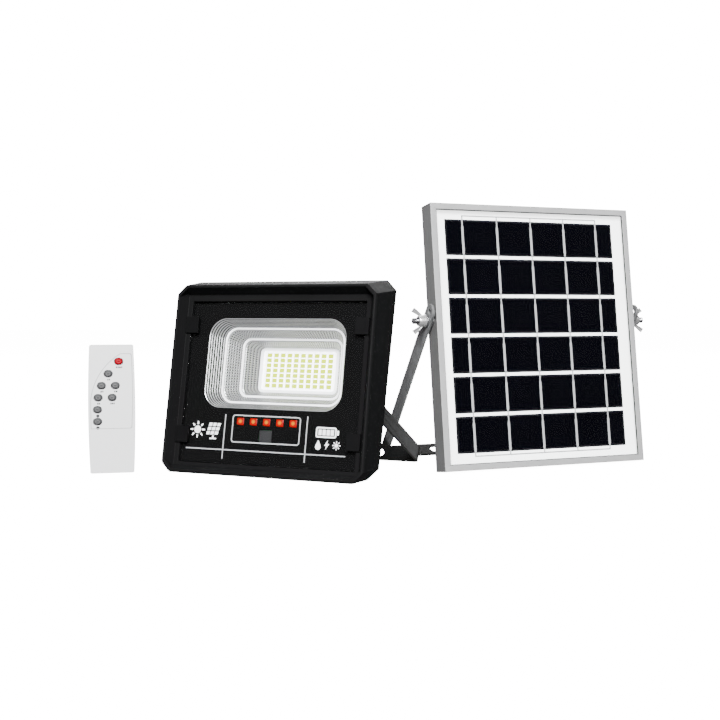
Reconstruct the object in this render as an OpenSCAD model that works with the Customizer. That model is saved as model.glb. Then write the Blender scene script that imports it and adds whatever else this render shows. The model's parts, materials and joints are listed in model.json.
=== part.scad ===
// Solar flood light kit: a lamp head on a tilting bracket, a solar panel on a
// tilting stand, and a hand-held remote, set out side by side on one floor.
// Row frame: +X right, +Y back, +Z up, floor at z = 0.
// Every unit has its own local frame: x right, y back from its front face,
// z up its face.

/* [Layout] */
// Where the lamp's front bottom edge is centred, across
lamp_x = -93; // [-120:0.1:-90]
// Where the lamp's front bottom edge is centred, in depth
lamp_y = -80.9; // [-100:0.1:-75]
// How far the lamp faces to the left, in degrees
lamp_yaw = 23.4; // [10:0.1:30]
// How far the lamp leans back at rest, in degrees
lamp_lean = 11.1; // [6:0.1:12]
// Where the panel's front bottom edge is centred, across
panel_x = 136.5; // [135:0.1:160]
// Where the panel's front bottom edge is centred, in depth
panel_y = -31.2; // [-34:0.1:20]
// How far the panel faces to the left, in degrees
panel_yaw = -22.15; // [-30:0.05:-15]
// How far the panel leans back at rest, in degrees
panel_lean = 7.8; // [4:0.1:15]
// Where the remote stands, across
remote_x = -207.8; // [-260:0.1:-200]
// Where the remote's front face stands, in depth
remote_y = -55.2; // [-90:0.1:-30]
// Turn of the remote, anticlockwise from above
remote_yaw = 12; // [0:0.5:15]

/* [Lamp head] */
// Width of the lamp's front rim
lamp_w = 174; // [170:1:180]
// Height of the lamp's front rim
lamp_h = 150; // [148:1:154]
// Corner chamfer of the rim
rim_chamfer = 8.5; // [5:0.5:10]
// Depth of the side wall at its foot
skirt_low = 21; // [20:1:26]
// Depth of the side wall at its head
skirt_high = 28; // [27:1:34]
// Width of the front glass
glass_w = 151.4; // [148:0.1:152]
// Height of the front glass
glass_h = 127.7; // [125:0.1:128]
// Width of the clear window in the printed mask
window_w = 120; // [110:1:124]
// Height of the clear window
window_h = 71.5; // [66:0.5:76]
// Columns of LED chips
chip_columns = 10; // [4:1:12]
// Rows of LED chips
chip_rows = 7; // [3:1:8]

/* [Lamp bracket] */
// Half the bracket's outer width
bracket_half = 83; // [82.5:0.1:83.2]
// Steel strip width
bracket_strip = 13; // [12:0.5:15]
// Steel strip thickness
bracket_t = 2.2; // [2:0.1:2.4]
// Slope of the legs below level, in degrees
bracket_slope = 27; // [26:0.1:32]

/* [Solar panel] */
// Width over the aluminium frame
panel_w = 184.4; // [180:0.1:190]
// Height over the aluminium frame
panel_h = 211.4; // [209:0.1:216]
// Depth of the frame rails
panel_d = 16.5; // [16:0.1:18]
// Rows of cell strips
cell_rows = 6; // [2:1:6]
// Length of one cell strip: a full wafer's width
cell_w = 156.75; // [150:0.05:157]
// Height of one cell strip
cell_h = 28.9; // [20:0.1:29]
// Conducting ribbons across each strip
ribbon_count = 5; // [3:1:6]

/* [Panel stand] */
// Steel strip width
stand_strip = 13; // [12:0.5:15]
// Steel strip thickness
stand_t = 2; // [1.6:0.1:2]
// Angle of the legs from upright, in degrees
stand_angle = 37; // [36:0.5:44]

/* [Remote] */
// Length of the remote
remote_h = 100; // [96:1:110]
// Width at its middle
remote_w = 36; // [35:0.5:38]
// Thickness of the remote
remote_d = 10.5; // [10.5:0.1:12]
// How far a button travels
key_travel = 0.8; // [0.4:0.1:0.9]

/* [Hidden] */
$fn = 64;
running = 0.05;   // radial clearance of a turning shaft
far = 400;        // longer than anything it cuts

// Lamp head depths, measured back from the front rim
rim_land = 2.5;
rim_bevel = 1.2;
ledge_y = 8;
ledge_in = 7;
glass_y = 8.3;
glass_t = 3;
glass_z = 9.7;
mask_y = glass_y + glass_t;
mask_t = 0.2;
shelf_y = 14.5;
shelf_t = 3;
skirt_t = 2;
draft_low = 0.215;
flare_side = 0.17;
flare_top = 0.3;
tub_half = 73.5;
tub_low = 12;
tub_high = 136;
tub_wall = 3;
tub_back = 52.6;
light_z = 89;           // centre of the window, reflector and LED board
board_y = 51;
print_x = -2;           // centre of the printed panel below the window
led_z = 43.3;
led_pitch = 11.5;
sensor_z = 32.5;

// Tilt pivot of the lamp head
pivot_y = 27;
pivot_z = 59.75;
pivot_r = 3;
boss_r = 7;
boss_end = 80;
pivot_back = pivot_y * cos(lamp_lean) + pivot_z * sin(lamp_lean);
lamp_lift = rim_bevel * sin(lamp_lean);
pivot_height = lamp_lift + pivot_z * cos(lamp_lean) - pivot_y * sin(lamp_lean);
bracket_len = (pivot_height - bracket_strip / 2 * cos(bracket_slope)) / sin(bracket_slope);

// Heat sink, rear cover, battery and gland
sink_half = 56;
sink_low = 56;
sink_high = 122;
sink_t = 4;
fin_count = 10;
fin_pitch = 9;
fin_depth = 7.4;
sink_screws = [for (x = [-51, 51], z = [61, 117]) [x, z]];
cover_screws = [for (x = [-46, 46], z = [18, 50]) [x, z]];
cover_low = 13;
cover_high = 55;
cover_gasket_t = 1.5;
screw_r = 1.5;
cell_r = 9.1;
cell_len = 65;
cell_zs = [25.3, 43.7];
gland_at = [-60, 46];
gland_bore_r = 2.75;

// Panel section
rail_t = 1.4;
rail_lip = 5;
rail_web = 9;
rail_flange = 12;
laminate_y = 5.4;       // back of the laminate, front of the rail's web
cell_pitch = (186.1 - cell_h) / 5;
cell_low = 13.4;
panel_glass_t = 3.2;
panel_pivot_y = 10.85;
panel_pivot_z = 118.8;
bolt_r = 2.5;
stand_gap = 2;
stand_half = panel_w / 2 + stand_gap + stand_t;
stand_past = 15;        // how far a leg runs past the pivot
panel_lift = panel_d * sin(panel_lean);
stand_back = panel_pivot_y * cos(panel_lean) + panel_pivot_z * sin(panel_lean);
stand_height = panel_lift + panel_pivot_z * cos(panel_lean) - panel_pivot_y * sin(panel_lean);
stand_len = (stand_height - stand_strip / 2 * sin(stand_angle)) / cos(stand_angle);
washer_t = 1;
box_z = 168;
box_w = 62;
box_h = 46;
box_back = 13.4;

// Remote
remote_wall = 1.6;
remote_split = 4.5;
remote_barrel_r = 1000;
key_w = 6.1;
key_h = 4.9;
key_gap = 0.12;
key_proud = 0.9;
key_back = 2.6;
mat_y = 3.6;
board_front = 4.4;
board_back = 5.6;
tray_w = 24;
tray_len = 27;
// Across from the centre, and down from the remote's top end
keys = [[5.5, 12.8], [-2.5, 22.3], [-7.7, 31.6], [2.8, 31.6],
        [-10.3, 40.9], [0.3, 40.9], [-10.9, 50.2], [-10.9, 59.5]];

// ---------------------------------------------------------------- frames

module at_lamp()
    translate([lamp_x, lamp_y, lamp_lift]) rotate([0, 0, -lamp_yaw])
        rotate([-lamp_lean, 0, 0]) children();

// Origin on the tilt axis, legs hanging along -z
module at_bracket()
    translate([lamp_x, lamp_y, 0]) rotate([0, 0, -lamp_yaw])
        translate([0, pivot_back, pivot_height])
            rotate([90 - bracket_slope, 0, 0]) children();

module at_panel()
    translate([panel_x, panel_y, 0]) rotate([0, 0, -panel_yaw])
        translate([0, 0, panel_lift]) rotate([-panel_lean, 0, 0]) children();

module at_stand()
    translate([panel_x, panel_y, 0]) rotate([0, 0, -panel_yaw])
        translate([0, stand_back, stand_height])
            rotate([stand_angle, 0, 0]) children();

module at_remote()
    translate([remote_x, remote_y, 0]) rotate([0, 0, remote_yaw]) children();

// ---------------------------------------------------------------- helpers

module rounded_rect(w, h, r) {
    square([w - 2 * r, h], center = true);
    square([w, h - 2 * r], center = true);
    for (sx = [-1, 1], sy = [-1, 1])
        translate([sx * (w / 2 - r), sy * (h / 2 - r)]) circle(r);
}

module chamfered_rect(w, h, c)
    polygon([
        [-w / 2 + c, -h / 2], [w / 2 - c, -h / 2], [w / 2, -h / 2 + c], [w / 2, h / 2 - c],
        [w / 2 - c, h / 2], [-w / 2 + c, h / 2], [-w / 2, h / 2 - c], [-w / 2, -h / 2 + c]
    ]);

// Extrudes an outline drawn in x and z from y0 back to y0 + t
module from_front(y0, t)
    translate([0, y0 + t, 0]) rotate([90, 0, 0]) linear_extrude(t) children();

// Extrudes an outline drawn in y and z along x, centred
module from_side(w)
    translate([-w / 2, 0, 0]) rotate([90, 0, 90]) linear_extrude(w) children();

// A plate centred on x = 0, from z0 to z1, with its front at y0
module plate(half, z0, z1, y0, t)
    translate([-half, y0, z0]) cube([2 * half, t, z1 - z0]);

// A round bar along x, from x0 to x1
module x_bar(r, x0, x1, y = 0, z = 0)
    translate([x0, y, z]) rotate([0, 90, 0]) cylinder(h = x1 - x0, r = r);

// A round bar along y, from y0 to y1
module y_bar(r, x, z, y0, y1)
    translate([x, y1, z]) rotate([90, 0, 0]) cylinder(h = y1 - y0, r = r);

module ring_x(r_out, r_in, x0, x1, y = 0, z = 0)
    difference() {
        x_bar(r_out, x0, x1, y, z);
        x_bar(r_in, x0 - 1, x1 + 1, y, z);
    }

// The same shape on the left and on the right
module both_sides() {
    children();
    mirror([1, 0, 0]) children();
}

// A strip bent to a U: pivot holes on the x axis, base across the bottom,
// leg ends rounded at the top
module u_bracket(half, t, strip, depth, past, hole_r, bend = 4) {
    difference() {
        intersection() {
            from_front(-strip / 2, strip)
                difference() {
                    u_outline(half, depth, past, bend);
                    translate([0, t]) u_outline(half - t, depth, past + t, bend - t);
                }
            from_side(far) {
                translate([-strip / 2, -far]) square([strip, far + past - strip / 2]);
                translate([0, past - strip / 2]) circle(strip / 2);
            }
        }
        x_bar(hole_r, -far / 2, far / 2);
        translate([0, 0, -depth - 1]) base_holes(t + 2);
    }
}

module u_outline(half, depth, past, bend) {
    translate([-half, -depth + bend]) square([2 * half, depth - bend + past]);
    translate([-half + bend, -depth]) square([2 * half - 2 * bend, bend]);
    for (s = [-1, 1])
        translate([s * (half - bend), -depth + bend]) circle(bend);
}

base_hole_r = 3.3;
slot_r = 3.3;
slot_end = 51;
slot_len = 24;
// One round hole in the middle and a slot towards each end
module base_holes(h) {
    cylinder(h = h, r = base_hole_r);
    both_sides()
        translate([slot_end - slot_r, 0, 0]) {
            cylinder(h = h, r = slot_r);
            translate([2 * slot_r - slot_len, 0, 0]) cylinder(h = h, r = slot_r);
            translate([2 * slot_r - slot_len, -slot_r, 0])
                cube([slot_len - 2 * slot_r, 2 * slot_r, h]);
        }
}

// ---------------------------------------------------------------- lamp bracket

module lamp_bracket()
    color([0.2, 0.2, 0.21])
        at_bracket()
            u_bracket(bracket_half, bracket_t, bracket_strip, bracket_len,
                      bracket_strip / 2, pivot_r);

// Screws put in from inside the lamp, threaded into the bracket's legs
module tilt_screws()
    color([0.7, 0.7, 0.72])
        at_lamp()
            both_sides() {
                x_bar(pivot_r, tub_half - tub_wall - 0.7, bracket_half, pivot_y, pivot_z);
                x_bar(5, tub_half - tub_wall - 4.7, tub_half - tub_wall - 0.7, pivot_y, pivot_z);
            }

module tilt_washers()
    color([0.85, 0.85, 0.8])
        at_lamp()
            both_sides() {
                ring_x(6, pivot_r + running, boss_end + 0.05, boss_end + 0.75, pivot_y, pivot_z);
                ring_x(5, pivot_r + running, tub_half - tub_wall - 0.6,
                       tub_half - tub_wall - 0.05, pivot_y, pivot_z);
            }

// ---------------------------------------------------------------- lamp head

// The outer prism of the lamp, flared at its top and sides and drafted below, shrunk by inset
module lamp_prism(inset, y0, y1, bevel = 0) {
    w = lamp_w / 2 - inset;
    h = lamp_h / 2 - inset;
    corner = (w + h - rim_chamfer + 0.4 * inset) / sqrt(2);
    intersection() {
        from_side(far)
            polygon([
                [bevel, inset], [0, inset + bevel], [0, lamp_h - inset - bevel],
                [bevel, lamp_h - inset],
                [y1, lamp_h - inset + flare_top * y1], [y1, inset + draft_low * y1]
            ]);
        translate([0, 0, -far / 2])
            linear_extrude(far)
                polygon([
                    [w - bevel, 0], [w, bevel], [w + flare_side * y1, y1],
                    [-w - flare_side * y1, y1], [-w, bevel], [-w + bevel, 0]
                ]);
        corner_slab(1, corner, y0, y1);
        corner_slab(-1, corner, y0, y1);
    }
}

// Slab across two opposite corners, which cuts their chamfers and follows the flare
module corner_slab(side, reach, y0, y1) {
    up = (flare_side + flare_top) / sqrt(2);
    down = (flare_side - draft_low) / sqrt(2);
    translate([0, 0, lamp_h / 2])
        rotate([0, 45 * side, 0])
            from_side(far)
                polygon([
                    [y0, -reach - down * y0], [y1, -reach - down * y1],
                    [y1, reach + up * y1], [y0, reach + up * y0]
                ]);
}

// Opening that narrows from the rim down to the ledge round the glass
module rim_funnel() {
    slope = (ledge_in - rim_land) / ledge_y;
    intersection() {
        translate([0, 0, lamp_h / 2])
            from_front(-1, ledge_y + 1)
                chamfered_rect(lamp_w - 2 * rim_land, lamp_h - 2 * rim_land, rim_chamfer - 1);
        from_side(far)
            polygon([
                [-1, rim_land - slope], [-1, lamp_h - rim_land + slope],
                [ledge_y, lamp_h - ledge_in], [ledge_y, ledge_in]
            ]);
        linear_extrude(lamp_h)
            polygon([
                [lamp_w / 2 - rim_land + slope, -1], [lamp_w / 2 - ledge_in, ledge_y],
                [-lamp_w / 2 + ledge_in, ledge_y], [-lamp_w / 2 + rim_land - slope, -1]
            ]);
    }
}

// Everything behind the slanted rear edge of the side wall
module behind_skirt() {
    slant = (skirt_high - skirt_low) / lamp_h;
    from_side(far)
        polygon([
            [skirt_low - 10 * slant, -10], [far, -10], [far, far],
            [skirt_low + far * slant, far]
        ]);
}

module lamp_housing()
    color([0.06, 0.06, 0.065])
        at_lamp()
            difference() {
                union() {
                    difference() {
                        lamp_prism(0, 0, 60, rim_bevel);
                        lamp_prism(skirt_t, shelf_y + shelf_t, 70);
                        behind_skirt();
                    }
                    plate(tub_half, tub_low, tub_high, shelf_y, tub_back - shelf_y);
                    both_sides() x_bar(boss_r, tub_half - 1, boss_end, pivot_y, pivot_z);
                }
                rim_funnel();
                plate(glass_w / 2 + 0.4, glass_z - 0.4, glass_z + glass_h + 0.4,
                      ledge_y - 1, shelf_y - ledge_y + 1);
                plate(tub_half - tub_wall, tub_low + tub_wall, tub_high - tub_wall,
                      shelf_y - 1, tub_back - tub_wall - shelf_y + 1);
                plate(46, light_z - 24, light_z + 24, tub_back - tub_wall - 1, tub_wall + 2);
                plate(36, 19, 50, tub_back - tub_wall - 1, tub_wall + 2);
                x_bar(pivot_r + running, -far / 2, -tub_half + tub_wall + 1, pivot_y, pivot_z);
                x_bar(pivot_r + running, tub_half - tub_wall - 1, boss_end + 1, pivot_y, pivot_z);
                y_bar(6.1, gland_at[0], gland_at[1], tub_back - tub_wall - 1, tub_back + 1);
                for (p = concat(sink_screws, cover_screws))
                    y_bar(screw_r, p[0], p[1], tub_back - tub_wall - 1, tub_back + 1);
            }

module lamp_glass()
    color([0.75, 0.8, 0.8, 0.35])
        at_lamp()
            translate([0, 0, glass_z + glass_h / 2])
                from_front(glass_y, glass_t) rounded_rect(glass_w, glass_h, 1.5);

// Black print behind the glass, open at the window, the LEDs and the sensor
module printed_mask()
    color([0.02, 0.02, 0.02])
        at_lamp()
            difference() {
                plate(glass_w / 2 - 0.4, glass_z + 0.4, glass_z + glass_h - 0.4, mask_y, mask_t);
                translate([0, 0, light_z])
                    from_front(mask_y - 1, 3) rounded_rect(window_w, window_h, 15);
                for (i = [-2:2])
                    translate([print_x + led_pitch * i, 0, led_z])
                        from_front(mask_y - 1, 3) square(6.6, center = true);
                translate([print_x, 0, sensor_z])
                    from_front(mask_y - 1, 3) square([11.3, 9.3], center = true);
            }

module glass_gasket()
    color([0.1, 0.1, 0.1])
        at_lamp()
            difference() {
                plate(glass_w / 2 - 0.1, glass_z + 0.1, glass_z + glass_h - 0.1,
                      mask_y + mask_t, shelf_y - mask_y - mask_t);
                plate(tub_half - tub_wall + 0.5, tub_low + tub_wall - 0.5,
                      tub_high - tub_wall + 0.5, mask_y, 10);
            }

// Four moulded clips that hold the glass down at its edges
module glass_clips()
    color([0.07, 0.07, 0.07])
        at_lamp()
            for (z = [31, 118.5])
                both_sides() {
                    translate([68.5, 6.2, z - 6.5]) cube([glass_w / 2 + 0.2 - 68.5, 2.1, 13]);
                    translate([glass_w / 2 + 0.2, 6.2, z - 6.5]) cube([3.9, 1.8, 13]);
                }

// Width, height and corner radius at the front, then at the back of each tier,
// with the depths between them
tiers = [
    [window_w, window_h, 15, 11.6, 106, 61.5, 11, 25],
    [102, 57.5, 9.5, 25, 91, 50, 8, 38],
    [87, 46, 6.5, 38, 73, 37.5, 4.5, board_y]
];
reflector_t = 1.2;

module tier(s, grow, y_front, y_back)
    hull() {
        from_front(y_front, 0.01)
            rounded_rect(s[0] + 2 * grow, s[1] + 2 * grow, s[2] + grow, $fn = 32);
        from_front(y_back - 0.01, 0.01)
            rounded_rect(s[4] + 2 * grow, s[5] + 2 * grow, s[6] + grow, $fn = 32);
    }

module reflector()
    color([0.85, 0.85, 0.86])
        at_lamp()
            translate([0, 0, light_z])
                difference() {
                    union() {
                        from_front(tiers[0][3], reflector_t) rounded_rect(128, 79.5, 17);
                        for (s = tiers) tier(s, reflector_t, s[3], s[7]);
                        for (s = [tiers[0], tiers[1]])
                            from_front(s[7], reflector_t)
                                rounded_rect(s[4] + 2 * reflector_t, s[5] + 2 * reflector_t,
                                             s[6] + reflector_t);
                    }
                    for (s = tiers) tier(s, 0, s[3] - 0.02, s[7] + 0.02);
                }

module led_board()
    color([0.95, 0.95, 0.95])
        at_lamp()
            difference() {
                plate(44, light_z - 22, light_z + 22, board_y, tub_back - board_y);
                for (x = [-41, 41]) y_bar(1.4, x, light_z, board_y - 1, tub_back + 1);
            }

module led_chips()
    color([0.95, 0.95, 0.4])
        at_lamp()
            for (i = [0:chip_columns - 1], j = [0:chip_rows - 1])
                translate([
                    (i - (chip_columns - 1) / 2) * 6.13, 0,
                    light_z + (j - (chip_rows - 1) / 2) * 4.15
                ])
                    from_front(board_y - 0.7, 0.7) square([3.5, 2.8], center = true);

module led_board_screws()
    color([0.7, 0.7, 0.7])
        at_lamp()
            for (x = [-41, 41]) {
                y_bar(1.25, x, light_z, board_y, tub_back + 3);
                y_bar(2.2, x, light_z, board_y - 1.4, board_y);
            }

module heat_sink()
    color([0.12, 0.12, 0.12])
        at_lamp()
            difference() {
                union() {
                    plate(sink_half, sink_low, sink_high, tub_back, sink_t);
                    for (i = [0:fin_count - 1])
                        translate([(i - (fin_count - 1) / 2) * fin_pitch, 0, 0])
                            plate(0.9, sink_low + 2, sink_high - 2, tub_back + sink_t - 0.5,
                                  fin_depth + 0.5);
                }
                for (p = sink_screws) y_bar(1.7, p[0], p[1], tub_back - 1, tub_back + 20);
                for (x = [-41, 41]) y_bar(1.3, x, light_z, tub_back - 1, tub_back + 3.4);
            }

// Pan-head screws: shank up to depth y_head, head behind it
module pan_screws(places, y_tip, y_head)
    for (p = places) {
        y_bar(screw_r - running, p[0], p[1], y_tip, y_head);
        y_bar(2.8, p[0], p[1], y_head, y_head + 2);
    }

module heat_sink_screws()
    color([0.7, 0.7, 0.7])
        at_lamp() pan_screws(sink_screws, tub_back - 5, tub_back + sink_t);

module control_board()
    color([0.05, 0.3, 0.12])
        at_lamp() plate(58, 16, 51, 17, 1.6);

module indicator_leds()
    color([0.85, 0.08, 0.05])
        at_lamp()
            for (i = [-2:2])
                translate([print_x + led_pitch * i, 0, led_z])
                    from_front(mask_y + 0.4, 17 - mask_y - 0.4) square(6, center = true);

module ir_receiver()
    color([0.2, 0.2, 0.2])
        at_lamp()
            translate([print_x, 0, sensor_z])
                from_front(mask_y + 0.4, 17 - mask_y - 0.4) square([10.6, 8.6], center = true);

module battery_cells()
    color([0.15, 0.45, 0.7])
        at_lamp()
            for (z = cell_zs) {
                x_bar(cell_r, -cell_len / 2, cell_len / 2, 32, z);
                x_bar(3, cell_len / 2 - 0.5, cell_len / 2 + 0.8, 32, z);
            }

module battery_holder()
    color([0.1, 0.1, 0.1])
        at_lamp()
            union() {
                plate(cell_len / 2 + 3.1, 16.2, 52.8, 41.5, 1.5);
                both_sides()
                    translate([cell_len / 2 + 1.3, 23, 16.2]) cube([1.8, 20, 36.6]);
            }

module rear_cover()
    color([0.08, 0.08, 0.08])
        at_lamp()
            difference() {
                translate([0, 0, (cover_low + cover_high) / 2])
                    from_front(tub_back + cover_gasket_t, 3)
                        rounded_rect(100, cover_high - cover_low, 4);
                for (p = cover_screws) y_bar(1.7, p[0], p[1], tub_back, tub_back + 10);
            }

module rear_cover_gasket()
    color([0.2, 0.2, 0.2])
        at_lamp()
            difference() {
                plate(41, 14.5, 54.5, tub_back, cover_gasket_t);
                plate(37, 18, 51, tub_back - 1, cover_gasket_t + 2);
            }

module rear_cover_screws()
    color([0.7, 0.7, 0.7])
        at_lamp() pan_screws(cover_screws, tub_back - 5, tub_back + cover_gasket_t + 3);

module cable_gland()
    color([0.1, 0.1, 0.1])
        at_lamp()
            translate([gland_at[0], 0, gland_at[1]])
                difference() {
                    union() {
                        y_bar(6, 0, 0, tub_back - 8, tub_back + 1);
                        translate([0, tub_back + 4, 0])
                            rotate([90, 0, 0]) cylinder(h = 4, r = 8.5, $fn = 6);
                        y_bar(5, 0, 0, tub_back + 3, tub_back + 11);
                    }
                    y_bar(gland_bore_r, 0, 0, tub_back - 10, tub_back + 20);
                }

module gland_cap()
    color([0.1, 0.1, 0.1])
        at_lamp()
            translate([gland_at[0], 0, gland_at[1]])
                difference() {
                    y_bar(7, 0, 0, tub_back + 4.2, tub_back + 14);
                    y_bar(5 + running, 0, 0, tub_back + 3, tub_back + 11.2);
                    y_bar(3.5, 0, 0, tub_back + 10, tub_back + 20);
                }

module gland_nut()
    color([0.1, 0.1, 0.1])
        at_lamp()
            translate([gland_at[0], 0, gland_at[1]])
                difference() {
                    translate([0, tub_back - tub_wall - 0.1, 0])
                        rotate([90, 0, 0]) cylinder(h = 4, r = 8.5, $fn = 6);
                    y_bar(6 + running, 0, 0, tub_back - 20, tub_back);
                }

// ---------------------------------------------------------------- panel stand

module panel_stand()
    color([0.55, 0.56, 0.57])
        at_stand()
            difference() {
                u_bracket(stand_half, stand_t, stand_strip, stand_len, stand_past,
                          bolt_r + running);
                x_bar(2, -far / 2, far / 2, 0, stand_past - 6);
            }

// ---------------------------------------------------------------- solar panel

// One extruded rail along z: x inwards from its outer face, mitred at both ends
module rail(length)
    intersection() {
        translate([0, 0, -length / 2])
            linear_extrude(length)
                polygon([
                    [0, 0], [rail_lip, 0], [rail_lip, rail_t], [rail_t, rail_t],
                    [rail_t, laminate_y], [rail_web, laminate_y],
                    [rail_web, laminate_y + rail_t], [rail_t, laminate_y + rail_t],
                    [rail_t, panel_d - rail_t], [rail_flange, panel_d - rail_t],
                    [rail_flange, panel_d], [0, panel_d]
                ]);
        from_front(0, panel_d)
            polygon([
                [0, -length / 2], [30, -length / 2 + 30], [30, length / 2 - 30], [0, length / 2]
            ]);
    }

module side_rail()
    difference() {
        translate([-panel_w / 2, 0, panel_h / 2]) rail(panel_h);
        x_bar(bolt_r + running, -panel_w, -panel_w / 2 + 4, panel_pivot_y, panel_pivot_z);
    }

module end_rail()
    rotate([0, -90, 0]) rail(panel_w);

module frame_rail_left() color([0.75, 0.76, 0.77]) at_panel() side_rail();

module frame_rail_right() color([0.75, 0.76, 0.77]) at_panel() mirror([1, 0, 0]) side_rail();

module frame_rail_bottom() color([0.72, 0.73, 0.74]) at_panel() end_rail();

module frame_rail_top()
    color([0.72, 0.73, 0.74])
        at_panel() translate([0, 0, panel_h]) mirror([0, 0, 1]) end_rail();

// Angle pieces that join the rails inside their hollow side
module corner_keys()
    color([0.6, 0.6, 0.6])
        at_panel()
            for (s = [0, 1])
                translate([0, 0, s * panel_h]) mirror([0, 0, s])
                    both_sides()
                        translate([-panel_w / 2 + 1.6, 7.2, 1.6]) {
                            cube([22, 7.5, 3]);
                            cube([3, 7.5, 22]);
                        }

module laminate_sheet(y0, t)
    plate(panel_w / 2 - 1.7, 1.7, panel_h - 1.7, y0, t);

module panel_glass()
    color([0.8, 0.85, 0.88, 0.35]) at_panel() laminate_sheet(rail_t, panel_glass_t);

module solar_cells()
    color([0.02, 0.02, 0.06])
        at_panel()
            for (i = [0:cell_rows - 1])
                plate(cell_w / 2, cell_low + i * cell_pitch, cell_low + i * cell_pitch + cell_h,
                      rail_t + panel_glass_t + 0.2, 0.2);

// Ribbons down the strips, and the two cross lines that collect them
module cell_ribbons()
    color([0.8, 0.8, 0.82])
        at_panel()
            translate([0, rail_t + panel_glass_t, 0]) {
                pitch = cell_w / ribbon_count;
                top = cell_low + (cell_rows - 1) * cell_pitch + cell_h + 3.5;
                for (i = [0:ribbon_count - 1])
                    translate([(i - (ribbon_count - 1) / 2) * pitch - 0.8, 0, cell_low - 3])
                        cube([1.6, 0.2, top - cell_low + 3]);
                for (z = [cell_low - 3, top - 1])
                    translate([-(ribbon_count - 1) / 2 * pitch, 0, z])
                        cube([(ribbon_count - 1) * pitch, 0.2, 1]);
            }

module backsheet()
    color([0.97, 0.97, 0.97]) at_panel() laminate_sheet(laminate_y - 0.4, 0.4);

module junction_box()
    color([0.08, 0.08, 0.08])
        at_panel()
            translate([0, 0, box_z])
                difference() {
                    from_front(laminate_y, box_back - laminate_y) rounded_rect(box_w, box_h, 3);
                    from_front(laminate_y + 1.5, box_back) rounded_rect(box_w - 4, box_h - 4, 1.5);
                    translate([0, 9.8, -box_h / 2 - 1]) cylinder(h = 4, r = 3.65);
                }

module junction_box_lid()
    color([0.1, 0.1, 0.1])
        at_panel()
            translate([0, 0, box_z]) from_front(box_back, 2.2) rounded_rect(box_w, box_h, 3);

module junction_gland()
    color([0.12, 0.12, 0.12])
        at_panel()
            translate([0, 9.8, box_z - box_h / 2])
                difference() {
                    union() {
                        translate([0, 0, -1]) cylinder(h = 3.9, r = 3.6);
                        translate([0, 0, -10]) cylinder(h = 10, r = 4.3);
                    }
                    translate([0, 0, -11]) cylinder(h = 16, r = 2.2);
                }

module blocking_diode()
    color([0.15, 0.15, 0.15])
        at_panel() {
            x_bar(2.4, -5, 5, 9.5, box_z + 5);
            both_sides() x_bar(0.6, 4.5, 12, 9.5, box_z + 5);
        }

// Hexagon bolts through the side rails, heads inside the rails
module panel_pivot_bolts()
    color([0.75, 0.75, 0.76])
        at_panel()
            both_sides() {
                translate([panel_w / 2 - rail_t - 3.5, panel_pivot_y, panel_pivot_z])
                    rotate([0, 90, 0]) cylinder(h = 3.5, r = 4.6, $fn = 6);
                x_bar(bolt_r, panel_w / 2 - rail_t - 1, stand_half + 12, panel_pivot_y,
                      panel_pivot_z);
            }

module panel_spacers()
    color([0.7, 0.7, 0.7])
        at_panel()
            both_sides()
                ring_x(6, bolt_r + running, panel_w / 2 + 0.05, stand_half - stand_t - 0.05,
                       panel_pivot_y, panel_pivot_z);

module wing_nut_washers()
    color([0.75, 0.75, 0.75])
        at_panel()
            both_sides()
                ring_x(5.5, bolt_r + running, stand_half + 0.05, stand_half + 0.05 + washer_t,
                       panel_pivot_y, panel_pivot_z);

// Wing nut for the left side: hub along -x, wings leaning away from the panel
module wing_nut()
    translate([-stand_half - washer_t - 0.1, panel_pivot_y, panel_pivot_z])
        difference() {
            union() {
                translate([-6, 0, 0]) rotate([0, 90, 0]) cylinder(h = 6, r1 = 4.4, r2 = 5.2);
                for (s = [0, 1])
                    mirror([0, 0, s])
                        from_front(-0.8, 1.6) {
                            polygon([
                                [-0.6, 0], [-0.6, 4.6], [-4.6, 11.2], [-8.6, 8.4], [-5.6, 3.6],
                                [-5.6, 0]
                            ]);
                            translate([-6.4, 9.6]) circle(2.6);
                        }
            }
            x_bar(bolt_r + running, -10, 2);
        }

module wing_nut_left() color([0.8, 0.8, 0.8]) at_panel() wing_nut();

module wing_nut_right() color([0.8, 0.8, 0.8]) at_panel() mirror([1, 0, 0]) wing_nut();

// ---------------------------------------------------------------- remote

// Outline with slightly barrelled sides, drawn in x and z from its lower end
module remote_outline(inset = 0)
    translate([0, remote_h / 2])
        intersection() {
            rounded_rect(remote_w - 2 * inset, remote_h - 2 * inset, 3 - min(inset, 1.5));
            remote_side(-1, inset);
            remote_side(1, inset);
        }

module remote_side(s, inset)
    translate([s * (remote_barrel_r - remote_w / 2 + inset), 0])
        circle(remote_barrel_r, $fn = 720);

module key_outline(grow) {
    r = key_h / 2 + grow;
    square([key_w - key_h, 2 * r], center = true);
    for (s = [-1, 1]) translate([s * (key_w - key_h) / 2, 0]) circle(r);
}

module at_key(i)
    translate([keys[i][0], 0, remote_h - keys[i][1]]) children();

// Slot in the lower end for the battery tray
tray_y = 5.8;
tray_t = 3.1;
module tray_slot()
    plate(tray_w / 2 + 0.15, -1, tray_len + 3, tray_y - 0.1, tray_t + 0.2);

module remote_front_shell()
    color([0.9, 0.9, 0.91])
        at_remote()
            difference() {
                from_front(0, remote_split) remote_outline();
                from_front(remote_wall, remote_split) remote_outline(remote_wall);
                for (i = [0:len(keys) - 1]) at_key(i) from_front(-1, 5) key_outline(key_gap);
                translate([0, remote_split, remote_h - 3]) cylinder(h = 5, r = 2.5);
            }

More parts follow.
